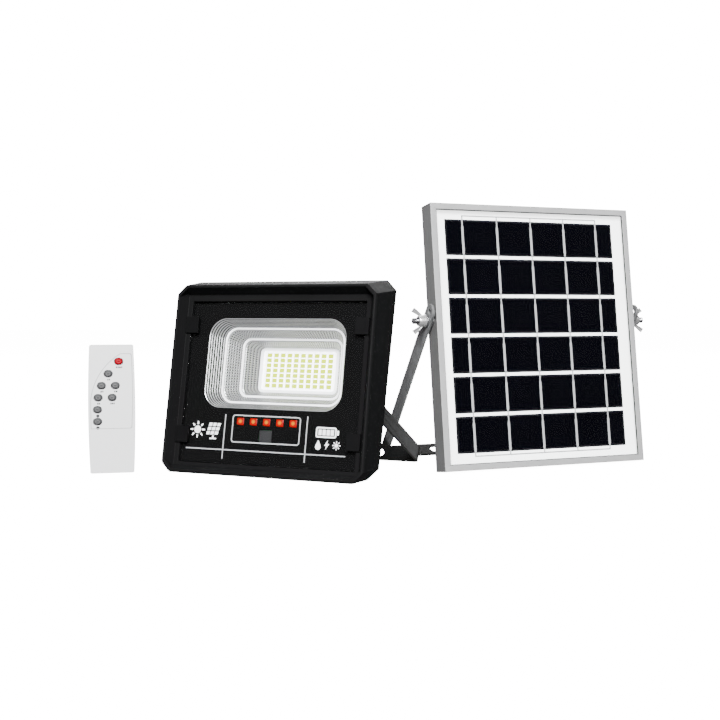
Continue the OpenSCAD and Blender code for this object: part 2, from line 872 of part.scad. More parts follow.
module remote_rear_shell()
    color([0.88, 0.88, 0.89])
        at_remote()
            difference() {
                from_front(remote_split, remote_d - remote_split) remote_outline();
                from_front(remote_split - 1, remote_d - remote_split + 1 - 1.5)
                    remote_outline(remote_wall);
                tray_slot();
                translate([0, remote_split, remote_h - 3]) cylinder(h = 5, r = 2.5);
            }

module remote_key_mat()
    color([0.3, 0.3, 0.3])
        at_remote() plate(15, 32, 91.5, mat_y, board_front - mat_y);

module remote_board()
    color([0.05, 0.35, 0.15])
        at_remote() plate(15, 3, 92, board_front, board_back - board_front);

module ir_emitter()
    color([0.35, 0.25, 0.45])
        at_remote()
            translate([0, remote_split, 94.2]) {
                cylinder(h = 5.6, r = 2.4);
                for (x = [-1.3, 1.3]) translate([x, 0, -2.1]) cylinder(h = 2.2, r = 0.3);
            }

module button(i, tint)
    color(tint)
        at_remote()
            at_key(i) {
                from_front(-key_proud, key_back + key_proud) key_outline(0);
                from_front(key_back - 0.8, 0.8) key_outline(0.6);
            }

module button_red() button(0, [0.85, 0.1, 0.15]);

module grey_button(i) button(i, [0.6, 0.6, 0.61]);

module battery_tray()
    color([0.85, 0.85, 0.86])
        at_remote()
            difference() {
                plate(tray_w / 2, 0, tray_len, tray_y, tray_t);
                y_bar(10.2, 0, tray_len / 2 + 1.5, tray_y - 1, tray_y + 2.6);
            }

module coin_cell()
    color([0.8, 0.8, 0.8])
        at_remote() y_bar(10, 0, tray_len / 2 + 1.5, tray_y + 0.05, tray_y + 2.55);

lamp_bracket();
tilt_screws();
tilt_washers();
lamp_housing();
lamp_glass();
printed_mask();
glass_gasket();
glass_clips();
reflector();
led_board();
led_chips();
led_board_screws();
heat_sink();
heat_sink_screws();
control_board();
indicator_leds();
ir_receiver();
battery_cells();
battery_holder();
rear_cover();
rear_cover_gasket();
rear_cover_screws();
cable_gland();
gland_cap();
gland_nut();
panel_stand();
frame_rail_left();
frame_rail_right();
frame_rail_top();
frame_rail_bottom();
corner_keys();
panel_glass();
solar_cells();
cell_ribbons();
backsheet();
junction_box();
junction_box_lid();
junction_gland();
blocking_diode();
panel_pivot_bolts();
panel_spacers();
wing_nut_washers();
wing_nut_left();
wing_nut_right();
remote_front_shell();
remote_rear_shell();
remote_key_mat();
remote_board();
ir_emitter();
button_red();
grey_button(1);  // button_1
grey_button(2);  // button_2
grey_button(3);  // button_3
grey_button(4);  // button_4
grey_button(5);  // button_5
grey_button(6);  // button_6
grey_button(7);  // button_7
battery_tray();
coin_cell();
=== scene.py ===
"""Looks for a solar flood light kit: lamp head on its bracket, solar panel on its stand, and remote.

Every unit is built in its own local frame, in millimetres: x right, y back from its front face, z up.
"""

import json
import math

import bmesh
import bpy
from mathutils import Matrix, Vector

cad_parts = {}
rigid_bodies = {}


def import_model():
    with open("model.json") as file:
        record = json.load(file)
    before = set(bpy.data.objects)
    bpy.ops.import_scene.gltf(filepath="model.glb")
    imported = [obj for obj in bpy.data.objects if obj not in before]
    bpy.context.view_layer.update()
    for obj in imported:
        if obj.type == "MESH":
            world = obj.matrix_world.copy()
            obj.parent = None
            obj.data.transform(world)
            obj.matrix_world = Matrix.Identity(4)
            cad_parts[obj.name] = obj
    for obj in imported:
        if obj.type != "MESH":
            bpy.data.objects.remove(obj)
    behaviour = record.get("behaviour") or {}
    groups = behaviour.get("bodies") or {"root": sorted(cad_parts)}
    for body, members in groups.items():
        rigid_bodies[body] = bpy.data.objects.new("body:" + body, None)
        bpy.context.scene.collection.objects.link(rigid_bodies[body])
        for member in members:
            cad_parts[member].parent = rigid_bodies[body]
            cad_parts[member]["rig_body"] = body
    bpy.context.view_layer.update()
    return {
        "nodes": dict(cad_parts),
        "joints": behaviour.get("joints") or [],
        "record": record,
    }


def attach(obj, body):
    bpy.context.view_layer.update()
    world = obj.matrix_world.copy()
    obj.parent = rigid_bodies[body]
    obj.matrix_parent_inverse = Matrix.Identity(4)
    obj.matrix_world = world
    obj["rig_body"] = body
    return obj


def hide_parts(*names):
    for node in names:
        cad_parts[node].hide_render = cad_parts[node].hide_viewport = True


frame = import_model()
MM = 0.001
JOINTS = {j["name"]: j for j in frame["joints"]}
MOUNTS = {m["name"]: m for m in frame["record"]["mounts"]}

# ---------------------------------------------------------------- unit frames


def rigid(right, back, origin):
    """A unit's frame from its x and y directions and the place of its origin, in metres."""
    up = right.cross(back)
    turn = Matrix((right.normalized(), back.normalized(), up.normalized())).transposed().to_4x4()
    turn.translation = origin
    return turn


def frame_at_pivot(joint, back, pivot_y, pivot_z):
    """The frame whose point (0, pivot_y, pivot_z) lies on a joint's axis."""
    turn = rigid(Vector(JOINTS[joint]["axis"]), back, Vector(JOINTS[joint]["pos_m"]))
    return turn @ Matrix.Translation((0, -pivot_y * MM, -pivot_z * MM))


PIVOT_Y, PIVOT_Z = 27, 59.75
LAMP = frame_at_pivot("lamp_tilt", Vector(MOUNTS["cable_inlet"]["axis"]), PIVOT_Y, PIVOT_Z)

PANEL_PIVOT_Y, PANEL_PIVOT_Z = 10.85, 118.8
panel_down = Vector(MOUNTS["panel_cable_outlet"]["axis"])
panel_back = Vector(JOINTS["panel_tilt"]["axis"]).cross(panel_down)
PANEL = frame_at_pivot("panel_tilt", panel_back, PANEL_PIVOT_Y, PANEL_PIVOT_Z)

remote_back = Vector(JOINTS["button_1_press"]["axis"])
remote_right = remote_back.cross(Vector((0, 0, 1)))
REMOTE = rigid(remote_right, remote_back, Vector(MOUNTS["remote_end"]["pos_m"]))
REMOTE = REMOTE @ Matrix.Translation((-14 * MM, -7 * MM, 0))


def leg_frame(joint, mount):
    """Frame of a bracket: x along its tilt axis, y out across its face, z up its legs."""
    right = Vector(JOINTS[joint]["axis"])
    up = -Vector(MOUNTS[mount]["axis"])
    return rigid(right, up.cross(right), Vector(JOINTS[joint]["pos_m"]))


BRACKET = leg_frame("lamp_tilt", "lamp_bracket_hole")
STAND = leg_frame("panel_tilt", "panel_stand_hole")

# ---------------------------------------------------------------- materials


class Shader:
    """A node-based material around one Principled BSDF, with object coordinates in metres."""

    def __init__(self, name):
        self.material = bpy.data.materials.new(name)
        self.material.use_nodes = True
        self.tree = self.material.node_tree
        self.bsdf = self.tree.nodes["Principled BSDF"]
        self.output = self.tree.nodes["Material Output"]
        self.coords = self.node("ShaderNodeTexCoord").outputs["Object"]

    def node(self, kind, **settings):
        made = self.tree.nodes.new(kind)
        for key, value in settings.items():
            setattr(made, key, value)
        return made

    def link(self, source, target):
        self.tree.links.new(source, target)

    def set(self, **values):
        """Principled inputs by name, with _ for a space."""
        for key, value in values.items():
            self.bsdf.inputs[key.replace("_", " ")].default_value = value

    def scaled(self, stretch):
        """Object coordinates stretched along the axes."""
        mapping = self.node("ShaderNodeMapping")
        mapping.inputs["Scale"].default_value = stretch
        self.link(self.coords, mapping.inputs["Vector"])
        return mapping.outputs["Vector"]

    def noise(self, size, detail=3, stretch=(1, 1, 1)):
        """Noise from 0 to 1 whose features are about size mm across."""
        made = self.node("ShaderNodeTexNoise")
        made.inputs["Scale"].default_value = 1 / (size * MM)
        made.inputs["Detail"].default_value = detail
        self.link(self.scaled(stretch), made.inputs["Vector"])
        return made.outputs["Fac"]

    def remap(self, value, low, high, start=0.3, end=0.7):
        made = self.node("ShaderNodeMapRange")
        for key, number in zip(("From Min", "From Max", "To Min", "To Max"), (start, end, low, high)):
            made.inputs[key].default_value = number
        self.link(value, made.inputs["Value"])
        return made.outputs["Result"]

    def mix(self, factor, first, second, blend="MIX"):
        made = self.node("ShaderNodeMix", data_type="RGBA", blend_type=blend)
        for socket, value in ((made.inputs[0], factor), (made.inputs[6], first), (made.inputs[7], second)):
            if isinstance(value, bpy.types.NodeSocket):
                self.link(value, socket)
            elif isinstance(value, (int, float)):
                socket.default_value = value
            else:
                socket.default_value = (*value[:3], 1)
        return made.outputs[2]

    def bump(self, height, depth):
        """Bump of depth mm from a 0 to 1 height, added to any bump already there."""
        made = self.node("ShaderNodeBump")
        made.inputs["Distance"].default_value = depth * MM
        self.link(height, made.inputs["Height"])
        before = self.bsdf.inputs["Normal"].links
        if before:
            self.link(before[0].from_socket, made.inputs["Normal"])
        self.link(made.outputs["Normal"], self.bsdf.inputs["Normal"])

    def painted_shade(self, base, depth, level, run=4, axis="Z"):
        """Painted shade: a colour that falls to depth times itself below a level in mm along one axis."""
        split = self.node("ShaderNodeSeparateXYZ")
        self.link(self.coords, split.inputs[0])
        tone = self.remap(split.outputs[axis], depth, 1, level * MM, (level + run) * MM)
        return self.mix(1.0, base, tone, "MULTIPLY")

    def colour(self, source):
        self.link(source, self.bsdf.inputs["Base Color"])

    def roughness(self, source):
        self.link(source, self.bsdf.inputs["Roughness"])


def scale(colour, factor):
    return tuple(min(1.0, c * factor) for c in colour)


def plastic(name, colour, rough, grain=0.02, grain_size=0.5, specular=0.3, vary=0.15, blotch=30):
    """Moulded plastic: slight blotches of tone, uneven gloss and a fine moulded grain."""
    s = Shader(name)
    s.set(Specular_IOR_Level=specular)
    s.colour(s.mix(s.noise(blotch), scale(colour, 1 - vary), scale(colour, 1 + vary)))
    s.roughness(s.remap(s.noise(blotch / 3), rough - 0.06, rough + 0.06))
    if grain:
        s.bump(s.noise(grain_size, detail=2), grain)
    return s.material


def painted(name, colour, rough, foot):
    """Powder coat over steel: orange peel, dust tone, brighter rubbed edges, and painted shade that darkens
    it below the foot level.
    """
    s = Shader(name)
    s.set(Specular_IOR_Level=0.12)
    base = s.mix(s.noise(18), scale(colour, 0.85), scale(colour, 1.15))
    edge = s.remap(s.node("ShaderNodeNewGeometry").outputs["Pointiness"], 0, 0.35, 0.52, 0.6)
    # Painted shade: below the foot level the colour falls to 0.12 of itself.
    s.colour(s.painted_shade(s.mix(edge, base, scale(colour, 2.2)), 0.12, foot))
    s.roughness(s.remap(s.noise(6), rough - 0.07, rough + 0.07))
    s.bump(s.noise(0.9, detail=2), 0.03)
    return s.material


def metal(name, colour, rough, metallic=1.0, lines=None, sides=None):
    """Metal: patches of tone and, with lines, fine drawn lines that run along that axis.

    With sides, all but the front face is that much darker, as painted shade."""
    s = Shader(name)
    s.set(Metallic=metallic)
    base = s.mix(s.noise(12), scale(colour, 0.88), scale(colour, 1.12))
    # Painted shade: with sides, every face behind the front face falls to sides times its colour.
    s.colour(base if sides is None else s.painted_shade(base, sides, 0.3, -0.25, "Y"))
    s.roughness(s.remap(s.noise(4), rough - 0.08, rough + 0.08))
    grain_depth = 0.012
    if lines is not None:
        stretch = [1, 1, 1]
        stretch[lines] = 0.01
        s.bump(s.noise(0.35, detail=2, stretch=stretch), grain_depth)
    else:
        s.bump(s.noise(0.7, detail=2), grain_depth)
    return s.material


def galvanised(name, colour, rough, foot):
    """Zinc coat: crystal patches of slightly different tone and gloss, and painted shade that darkens it
    below the foot level.
    """
    s = Shader(name)
    s.set(Metallic=0.3, Specular_IOR_Level=0.1)
    crystals = s.node("ShaderNodeTexVoronoi")
    crystals.inputs["Scale"].default_value = 1 / (4.5 * MM)
    s.link(s.coords, crystals.inputs["Vector"])
    tone = s.remap(crystals.outputs["Color"], 0, 1, 0.0, 1.0)
    # Painted shade: below the foot level the colour falls to 0.03 of itself.
    s.colour(s.painted_shade(s.mix(tone, scale(colour, 0.86), scale(colour, 1.14)), 0.03, foot))
    s.roughness(s.remap(tone, rough - 0.08, rough + 0.1, 0, 1))
    s.bump(s.noise(1.2, detail=3), 0.02)
    return s.material


def chrome(name, bright, dark, rough, glow):
    """Vacuum-coated reflector with painted light: it glows with its own colour, though it is no lamp, in
    place of the LED light it reflects. The middle of each facet, held in an attribute, is painted dark as
    painted shade.
    """
    s = Shader(name)
    s.set(Metallic=0.85)
    hollow = s.node("ShaderNodeAttribute", attribute_name="hollow").outputs["Fac"]
    # Painted shade: faces marked in the attribute take the dark colour.
    base = s.mix(hollow, s.mix(s.noise(9), scale(bright, 0.95), scale(bright, 1.05)), dark)
    s.colour(base)
    # Painted light: the reflector's colour is also given off as light.
    s.link(base, s.bsdf.inputs["Emission Color"])
    s.set(Emission_Strength=glow)
    s.roughness(s.remap(s.noise(5), rough - 0.03, rough + 0.03))
    return s.material


def clear(name, tint, gloss):
    """Thin clear glass: it lets light straight through and reflects at a glance."""
    s = Shader(name)
    through = s.node("ShaderNodeBsdfTransparent")
    through.inputs["Color"].default_value = (*tint, 1)
    shine = s.node("ShaderNodeBsdfGlossy")
    shine.inputs["Roughness"].default_value = 0.05
    s.link(s.remap(s.noise(25), 0.03, 0.09), shine.inputs["Roughness"])
    fresnel = s.node("ShaderNodeFresnel")
    fresnel.inputs["IOR"].default_value = 1.45
    amount = s.node("ShaderNodeMath", operation="MULTIPLY")
    s.link(fresnel.outputs["Fac"], amount.inputs[0])
    amount.inputs[1].default_value = gloss
    both = s.node("ShaderNodeMixShader")
    s.link(amount.outputs["Value"], both.inputs[0])
    s.link(through.outputs["BSDF"], both.inputs[1])
    s.link(shine.outputs["BSDF"], both.inputs[2])
    s.link(both.outputs["Shader"], s.output.inputs["Surface"])
    s.tree.nodes.remove(s.bsdf)
    return s.material


def glowing(name, centre, edge, reach, strength):
    """A lit lens: its glow fades from centre to edge over reach mm from the piece's own origin."""
    s = Shader(name)
    away = s.node("ShaderNodeVectorMath", operation="LENGTH")
    s.link(s.coords, away.inputs[0])
    fade = s.remap(away.outputs["Value"], 0, 1, 0.0, reach * MM)
    glow = s.mix(fade, centre, edge)
    grain = s.mix(s.noise(0.8), (0.85, 0.85, 0.85), (1, 1, 1))
    s.colour(s.mix(0.9, edge, (0.0, 0.0, 0.0)))
    s.link(s.mix(1.0, glow, grain, "MULTIPLY"), s.bsdf.inputs["Emission Color"])
    s.set(Emission_Strength=strength, Roughness=0.3, Specular_IOR_Level=0.1)
    return s.material


def lit(name, colour, strength, specular=0.3):
    """A white surface that also gives off some light of its own, as painted light, though it is no lamp."""
    s = Shader(name)
    base = s.mix(s.noise(4), scale(colour, 0.94), colour)
    s.colour(base)
    s.link(base, s.bsdf.inputs["Emission Color"])
    s.set(Emission_Strength=strength, Roughness=0.5, Specular_IOR_Level=specular)
    s.bump(s.noise(0.6), 0.005)
    return s.material


def silicon(name):
    """Dark cell face with the fine printed fingers that run along each strip."""
    s = Shader(name)
    s.set(Specular_IOR_Level=0.0, Roughness=0.5)
    fingers = s.node("ShaderNodeTexWave", bands_direction="Z")
    fingers.inputs["Scale"].default_value = 0.314 / (1.5 * MM)
    s.link(s.coords, fingers.inputs["Vector"])
    line = s.remap(fingers.outputs["Fac"], 0, 1, 0.9, 1.0)
    base = s.mix(s.noise(35), (0.0005, 0.0005, 0.0012), (0.001, 0.001, 0.002))
    s.colour(s.mix(line, base, (0.0016, 0.0016, 0.0028)))
    return s.material


BLACK = plastic("lamp_black", (0.0038, 0.0038, 0.004), 0.52, specular=0.03)
CLIP = plastic("clip_black", (0.0028, 0.0028, 0.003), 0.45, specular=0.03)
PRINT = plastic("mask_print", (0.0028, 0.0028, 0.0029), 0.5, grain=0.0, specular=0.01)
INK = plastic("print_ink", (0.9, 0.9, 0.91), 0.5, grain=0.004, specular=0.2, vary=0.04)
FINE_INK = plastic("outline_ink", (0.32, 0.32, 0.33), 0.5, grain=0.004, specular=0.2, vary=0.05)
RUBBER = plastic("gasket_rubber", (0.003, 0.003, 0.003), 0.75, specular=0.02)
GLAND = plastic("gland_black", (0.008, 0.008, 0.0085), 0.42, specular=0.25)
CIRCUIT = plastic("board_green", (0.004, 0.05, 0.016), 0.4, vary=0.3, blotch=4)
SENSOR = plastic("sensor_grey", (0.016, 0.016, 0.017), 0.35, specular=0.3)
SLEEVE = plastic("battery_wrap", (0.02, 0.09, 0.2), 0.35, grain=0.004)
REMOTE_WHITE = plastic("remote_white", (0.62, 0.625, 0.632), 0.45, grain=0.012, vary=0.02)
# Label ink, also used for the painted shade ring round each key.
GAP_SHADE_AND_LABEL_INK = plastic("label_ink_and_gap_shade", (0.03, 0.03, 0.032), 0.5, grain=0.003)
EDGE_INK = plastic("key_edge_ink", (0.3, 0.3, 0.305), 0.5, grain=0.003, vary=0.03)
KEY_GREY = plastic("button_grey", (0.045, 0.0455, 0.047), 0.6, grain=0.02, specular=0.1)
KEY_RED = plastic("button_red_rubber", (0.17, 0.0, 0.005), 0.5, grain=0.02, specular=0.03)
KEY_RING = plastic("button_ring_grey", (0.11, 0.111, 0.114), 0.6, grain=0.01)
KEY_RING_RED = plastic("button_ring_red", (0.33, 0.008, 0.02), 0.5, grain=0.01)
IR_LENS = plastic("ir_lens", (0.02, 0.01, 0.03), 0.15, grain=0.0, specular=0.5)
# Painted shade: both frame finishes darken every face but the front one to 0.32 of the colour.
ANODISED = metal("frame_aluminium", (0.33, 0.332, 0.335), 0.42, metallic=0.3, lines=0, sides=0.32)
ANODISED_UP = metal("frame_aluminium_up", (0.33, 0.332, 0.335), 0.42, metallic=0.3, lines=2, sides=0.32)
SINK = metal("sink_aluminium", (0.012, 0.012, 0.013), 0.4, metallic=0.3, lines=2)
STEEL = metal("screw_steel", (0.3, 0.3, 0.31), 0.25)
WING = metal("wing_zinc", (0.45, 0.453, 0.457), 0.25, metallic=0.75)
TIN = metal("ribbon_tin", (0.36, 0.36, 0.37), 0.5, metallic=0.1, lines=2)
OUTLINE = metal("cell_outline", (0.02, 0.02, 0.024), 0.5, metallic=0.1)
CELL = silicon("solar_silicon")
COIN = metal("coin_steel", (0.45, 0.45, 0.46), 0.25)
# Painted light and shade: the reflector glows at strength 1.7 and each facet's middle is painted dark.
CHROME = chrome("reflector_chrome", (0.24, 0.242, 0.245), (0.02, 0.02, 0.021), 0.2, 1.7)
PHOSPHOR = glowing("led_phosphor", (0.8, 1.0, 0.0), (0.8, 1.0, 0.0), 100, 2.5)
RED_GLOW = glowing("indicator_red", (2.0, 0.85, 0.0), (0.72, 0.0, 0.0), 2.0, 1.0)
GLASS = clear("clear_glass", (0.98, 0.985, 0.985), 0.1)
# Painted light: the LED board, the reflector lips and the panel's backsheet glow, though none of them is a
# lamp.
BOARD_LIT = lit("board_white_lit", (0.95, 0.95, 0.97), 3.6)
LIP_LIT = lit("reflector_lip_lit", (0.94, 0.94, 0.96), 1.1)
SHEET = lit("backsheet_white", (0.96, 0.96, 0.96), 2.5, 0.0)
LAMP_GLASS = clear("lamp_glass_clear", (0.98, 0.985, 0.985), 0.1)

# ---------------------------------------------------------------- mesh helpers


def finished(name, bm, unit, body, material, replaces=(), smooth=35):
    """Makes a riding piece from a bmesh in a unit's local millimetres."""
    bmesh.ops.recalc_face_normals(bm, faces=bm.faces)
    bmesh.ops.scale(bm, vec=(MM, MM, MM), verts=bm.verts)
    mesh = bpy.data.meshes.new(name)
    bm.to_mesh(mesh)
    bm.free()
    return placed(name, mesh, unit, body, material, replaces, smooth)


def placed(name, mesh, unit, body, material, replaces, smooth):
    mesh.materials.clear()
    mesh.materials.append(material)
    mesh.shade_smooth()
    mesh.set_sharp_from_angle(angle=math.radians(smooth))
    piece = bpy.data.objects.new(name, mesh)
    bpy.context.scene.collection.objects.link(piece)
    piece.matrix_world = unit
    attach(piece, body)
    if replaces:
        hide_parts(*replaces)
    return piece


def bevelled(mesh, width, segments=2, angle=30):
    """Rounds a mesh's sharp edges by width mm and weights its normals to the flat faces."""
    holder = bpy.data.objects.new("holder", mesh)
    bpy.context.scene.collection.objects.link(holder)
    mesh.shade_smooth()
    bevel = holder.modifiers.new("bevel", "BEVEL")
    bevel.width = width * MM
    bevel.segments = segments
    bevel.limit_method = "ANGLE"
    bevel.angle_limit = math.radians(angle)
    bevel.miter_outer = "MITER_ARC"
    bevel.use_clamp_overlap = True
    weigh = holder.modifiers.new("weigh", "WEIGHTED_NORMAL")
    weigh.keep_sharp = True
    bpy.context.view_layer.update()
    dg = bpy.context.evaluated_depsgraph_get()
    made = bpy.data.meshes.new_from_object(holder.evaluated_get(dg))
    bpy.data.objects.remove(holder)
    return made


def refined(node, unit, material, width, segments=2, pick=None, picked_width=0):
    """A CAD node's own shape with rounded edges and clean faces, in its place.

    Edges for which pick(middle in mm) is true are rounded by picked_width first."""
    source = frame["nodes"][node]
    bm = bmesh.new()
    inverse = unit.inverted()
    for v in source.data.vertices:
        bm.verts.new(inverse @ v.co)
    bm.verts.ensure_lookup_table()
    for p in source.data.polygons:
        corners = [bm.verts[i] for i in p.vertices]
        if len(set(corners)) == len(corners) and not bm.faces.get(corners):
            bm.faces.new(corners)
    bmesh.ops.remove_doubles(bm, verts=bm.verts, dist=0.002 * MM)
    bm.normal_update()
    bmesh.ops.dissolve_limit(bm, angle_limit=math.radians(0.5), verts=bm.verts, edges=bm.edges)
    bmesh.ops.triangulate(bm, faces=[f for f in bm.faces if len(f.verts) > 4])
    if pick:
        chosen = [
            e for e in bm.edges
            if e.calc_face_angle(0) > 0.5 and all(pick(v.co / MM) for v in e.verts)
        ]
        bmesh.ops.bevel(
            bm, geom=chosen, offset=picked_width * MM, segments=4, profile=0.5, affect="EDGES",
            clamp_overlap=True
        )
    mesh = bpy.data.meshes.new(node)
    bm.to_mesh(mesh)
    bm.free()
    body = source["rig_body"]
    mesh = bevelled(mesh, width, segments)
    piece = bpy.data.objects.new(node + "_shape", mesh)
    mesh.materials.clear()
    mesh.materials.append(material)
    bpy.context.scene.collection.objects.link(piece)
    piece.matrix_world = unit
    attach(piece, body)
    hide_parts(node)
    return piece


def lowest(node, unit):
    """The lowest point of a CAD node in a unit's frame, in mm."""
    inverse = unit.inverted()
    return min((inverse @ v.co).z for v in frame["nodes"][node].data.vertices) / MM


def repaint(node, material):
    """A CAD node that keeps its own shape gets its finish."""
    for material_slot in frame["nodes"][node].material_slots:
        material_slot.material = material


def ring_points(w, h, r, steps=8, x=0.0, z=0.0):
    """Points round a rounded rectangle in x and z."""
    points = []
    for turn, sx, sz in ((0, 1, 1), (1, -1, 1), (2, -1, -1), (3, 1, -1)):
        for i in range(steps + 1):
            a = (turn + i / steps) * math.pi / 2
            points.append((x + sx * (w / 2 - r) + r * math.cos(a), z + sz * (h / 2 - r) + r * math.sin(a)))
    return points


def disc_points(r, x=0.0, z=0.0, count=24):
    return [
        (x + r * math.cos(2 * math.pi * i / count), z + r * math.sin(2 * math.pi * i / count))
        for i in range(count)
    ]


def join_rings(bm, rings):
    """Faces between each ring of corners and the next."""
    count = len(rings[0])
    for low, high in zip(rings, rings[1:]):
        for i in range(count):
            j = (i + 1) % count
            bm.faces.new((low[i], low[j], high[j], high[i]))


def prism(bm, points, y0, y1):
    """A closed outline in x and z, from depth y0 back to y1."""
    front = [bm.verts.new((x, y0, z)) for x, z in points]
    back = [bm.verts.new((x, y1, z)) for x, z in points]
    bm.faces.new(front)
    bm.faces.new(list(reversed(back)))
    for i in range(len(points)):
        j = (i + 1) % len(points)
        bm.faces.new((front[i], back[i], back[j], front[j]))


def strip_loop(bm, outer, inner, y0, y1):
    """A closed band between two outlines of the same number of points."""
    rows = [
        [bm.verts.new((x, y, z)) for x, z in points]
        for points, y in ((outer, y0), (inner, y0), (inner, y1), (outer, y1))
    ]
    join_rings(bm, rows + rows[:1])


def bar(bm, x0, x1, z0, z1, y0, y1):
    prism(bm, [(x0, z0), (x1, z0), (x1, z1), (x0, z1)], y0, y1)


def turned(bm, profile, centre=(0, 0), count=32):
    """Turns a profile of (radius, y) round the y axis at centre, and gives back its rings."""
    rings = []
    for radius, y in profile:
        turns = [2 * math.pi * i / count for i in range(count)]
        ring = [(centre[0] + radius * math.cos(a), y, centre[1] + radius * math.sin(a)) for a in turns]
        rings.append([bm.verts.new(place) for place in ring])
    join_rings(bm, rings)
    return rings


def fluted_loop(bm, profile, count, flutes, depth, grip, place):
    """A closed ring from a profile of (radius, along), fluted where its radius is over grip.

    place gives the point of two coordinates across the axis and one along it."""
    rings = []
    for radius, along in profile:
        ring = []
        for i in range(count):
            a = 2 * math.pi * i / count
            r = radius - (depth * max(0.0, math.cos(flutes * a)) if radius > grip else 0)
            ring.append(bm.verts.new(place(r * math.cos(a), r * math.sin(a), along)))
        rings.append(ring)
    join_rings(bm, rings + rings[:1])


def stack(bm, layers, closed=False):
    """Joins outlines of equal length, each (points, y), into one solid, capped or closed on itself."""
    rows = [[bm.verts.new((x, y, z)) for x, z in points] for points, y in layers]
    join_rings(bm, rows + rows[:1] if closed else rows)
    if not closed:
        bm.faces.new(rows[0])
        bm.faces.new(list(reversed(rows[-1])))


def along_x(bm, side, place):
    """Turns a shape made round the y axis so that it points along x, outwards on that side."""
    bmesh.ops.rotate(bm, matrix=Matrix.Rotation(-side * math.pi / 2, 3, "Z"), verts=bm.verts)
    bmesh.ops.translate(bm, vec=place, verts=bm.verts)


# ---------------------------------------------------------------- lamp head: the front

GLASS_W, GLASS_H, GLASS_Z = 151.4, 127.7, 9.7
GLASS_FRONT, GLASS_BACK = 8.3, 11.15
INK_FRONT, INK_BACK = 11.17, 11.29
LIGHT_Z = 89
MIDDLE_Z = GLASS_Z + GLASS_H / 2


def lamp_glass():
    bm = bmesh.new()
    edge = 0.5
    small = ring_points(GLASS_W - 2 * edge, GLASS_H - 2 * edge, 1, z=MIDDLE_Z)
    full = ring_points(GLASS_W, GLASS_H, 1.5, z=MIDDLE_Z)
    stack(bm, [
        (small, GLASS_FRONT), (full, GLASS_FRONT + edge), (full, GLASS_BACK - edge), (small, GLASS_BACK)
    ])
    finished("lamp_glass_plate", bm, LAMP, "lamp_head", LAMP_GLASS, ["lamp_glass"])


def ink_bar(bm, x0, x1, z0, z1):
    bar(bm, x0, x1, z0, z1, INK_FRONT, INK_BACK)


def sun_symbol(bm, x, z, disc=3.0, ray_from=4.2, ray_to=6.6, rays=8, width=0.75):
    """A plain sun: a disc with blunt rays round it."""
    prism(bm, disc_points(disc, x, z), INK_FRONT, INK_BACK)
    for i in range(rays):
        a = 2 * math.pi * i / rays
        along, across = (math.cos(a), math.sin(a)), (-math.sin(a), math.cos(a))
        corners = [(ray_from, -width), (ray_to, -width * 0.6), (ray_to, width * 0.6), (ray_from, width)]
        points = [(x + u * along[0] + v * across[0], z + u * along[1] + v * across[1]) for u, v in corners]
        prism(bm, points, INK_FRONT, INK_BACK)


def panel_symbol(bm, x, z, w=13, h=10, lean=2.6, columns=3, rows=3, line=0.85):
    """A leaning grid that stands for a solar panel, on a short foot."""
    for i in range(columns):
        for j in range(rows):
            points = []
            for u, v in ((i, j), (i + 1, j), (i + 1, j + 1), (i, j + 1)):
                inset_u = line / 2 if u == i else -line / 2
                inset_v = line / 2 if v == j else -line / 2
                px = (u / columns - 0.5) * w + inset_u
                pz = (v / rows - 0.5) * h + inset_v
                points.append((x + px + lean * pz / h, z + pz))
            prism(bm, points, INK_FRONT, INK_BACK)
    ink_bar(bm, x - 0.7, x + 0.7, z - h / 2 - 2.2, z - h / 2 - 0.4)
    ink_bar(bm, x - 3, x + 3, z - h / 2 - 3.2, z - h / 2 - 2.2)


def battery_symbol(bm, x, z, w=17, h=8, line=1.1, bars=4):
    outer, inner = ring_points(w, h, 1.6, 4, x, z), ring_points(w - 2 * line, h - 2 * line, 0.6, 4, x, z)
    strip_loop(bm, outer, inner, INK_FRONT, INK_BACK)
    prism(bm, ring_points(1.6, 3.6, 0.5, 3, x + w / 2 + 1.2, z), INK_FRONT, INK_BACK)
    room = w - 2 * line - 1.2
    for i in range(bars):
        left = x - room / 2 + i * room / bars
        ink_bar(bm, left + 0.35, left + room / bars - 0.35, z - h / 2 + 1.9, z + h / 2 - 1.9)


def drop_symbol(bm, x, z, r=2.3, tip=5.2):
    lower = [
        (x + r * math.cos(a), z + r * math.sin(a))
        for a in (math.radians(150 + i * 12) for i in range(21))
    ]
    prism(bm, lower + [(x, z + tip)], INK_FRONT, INK_BACK)


def bolt_symbol(bm, x, z, s=1.0):
    points = [(0.9, 4.2), (-2.2, -0.5), (-0.3, -0.5), (-1.1, -3.8), (2.2, 1.0), (0.2, 1.0)]
    prism(bm, [(x + s * u, z + s * v) for u, v in points], INK_FRONT, INK_BACK)


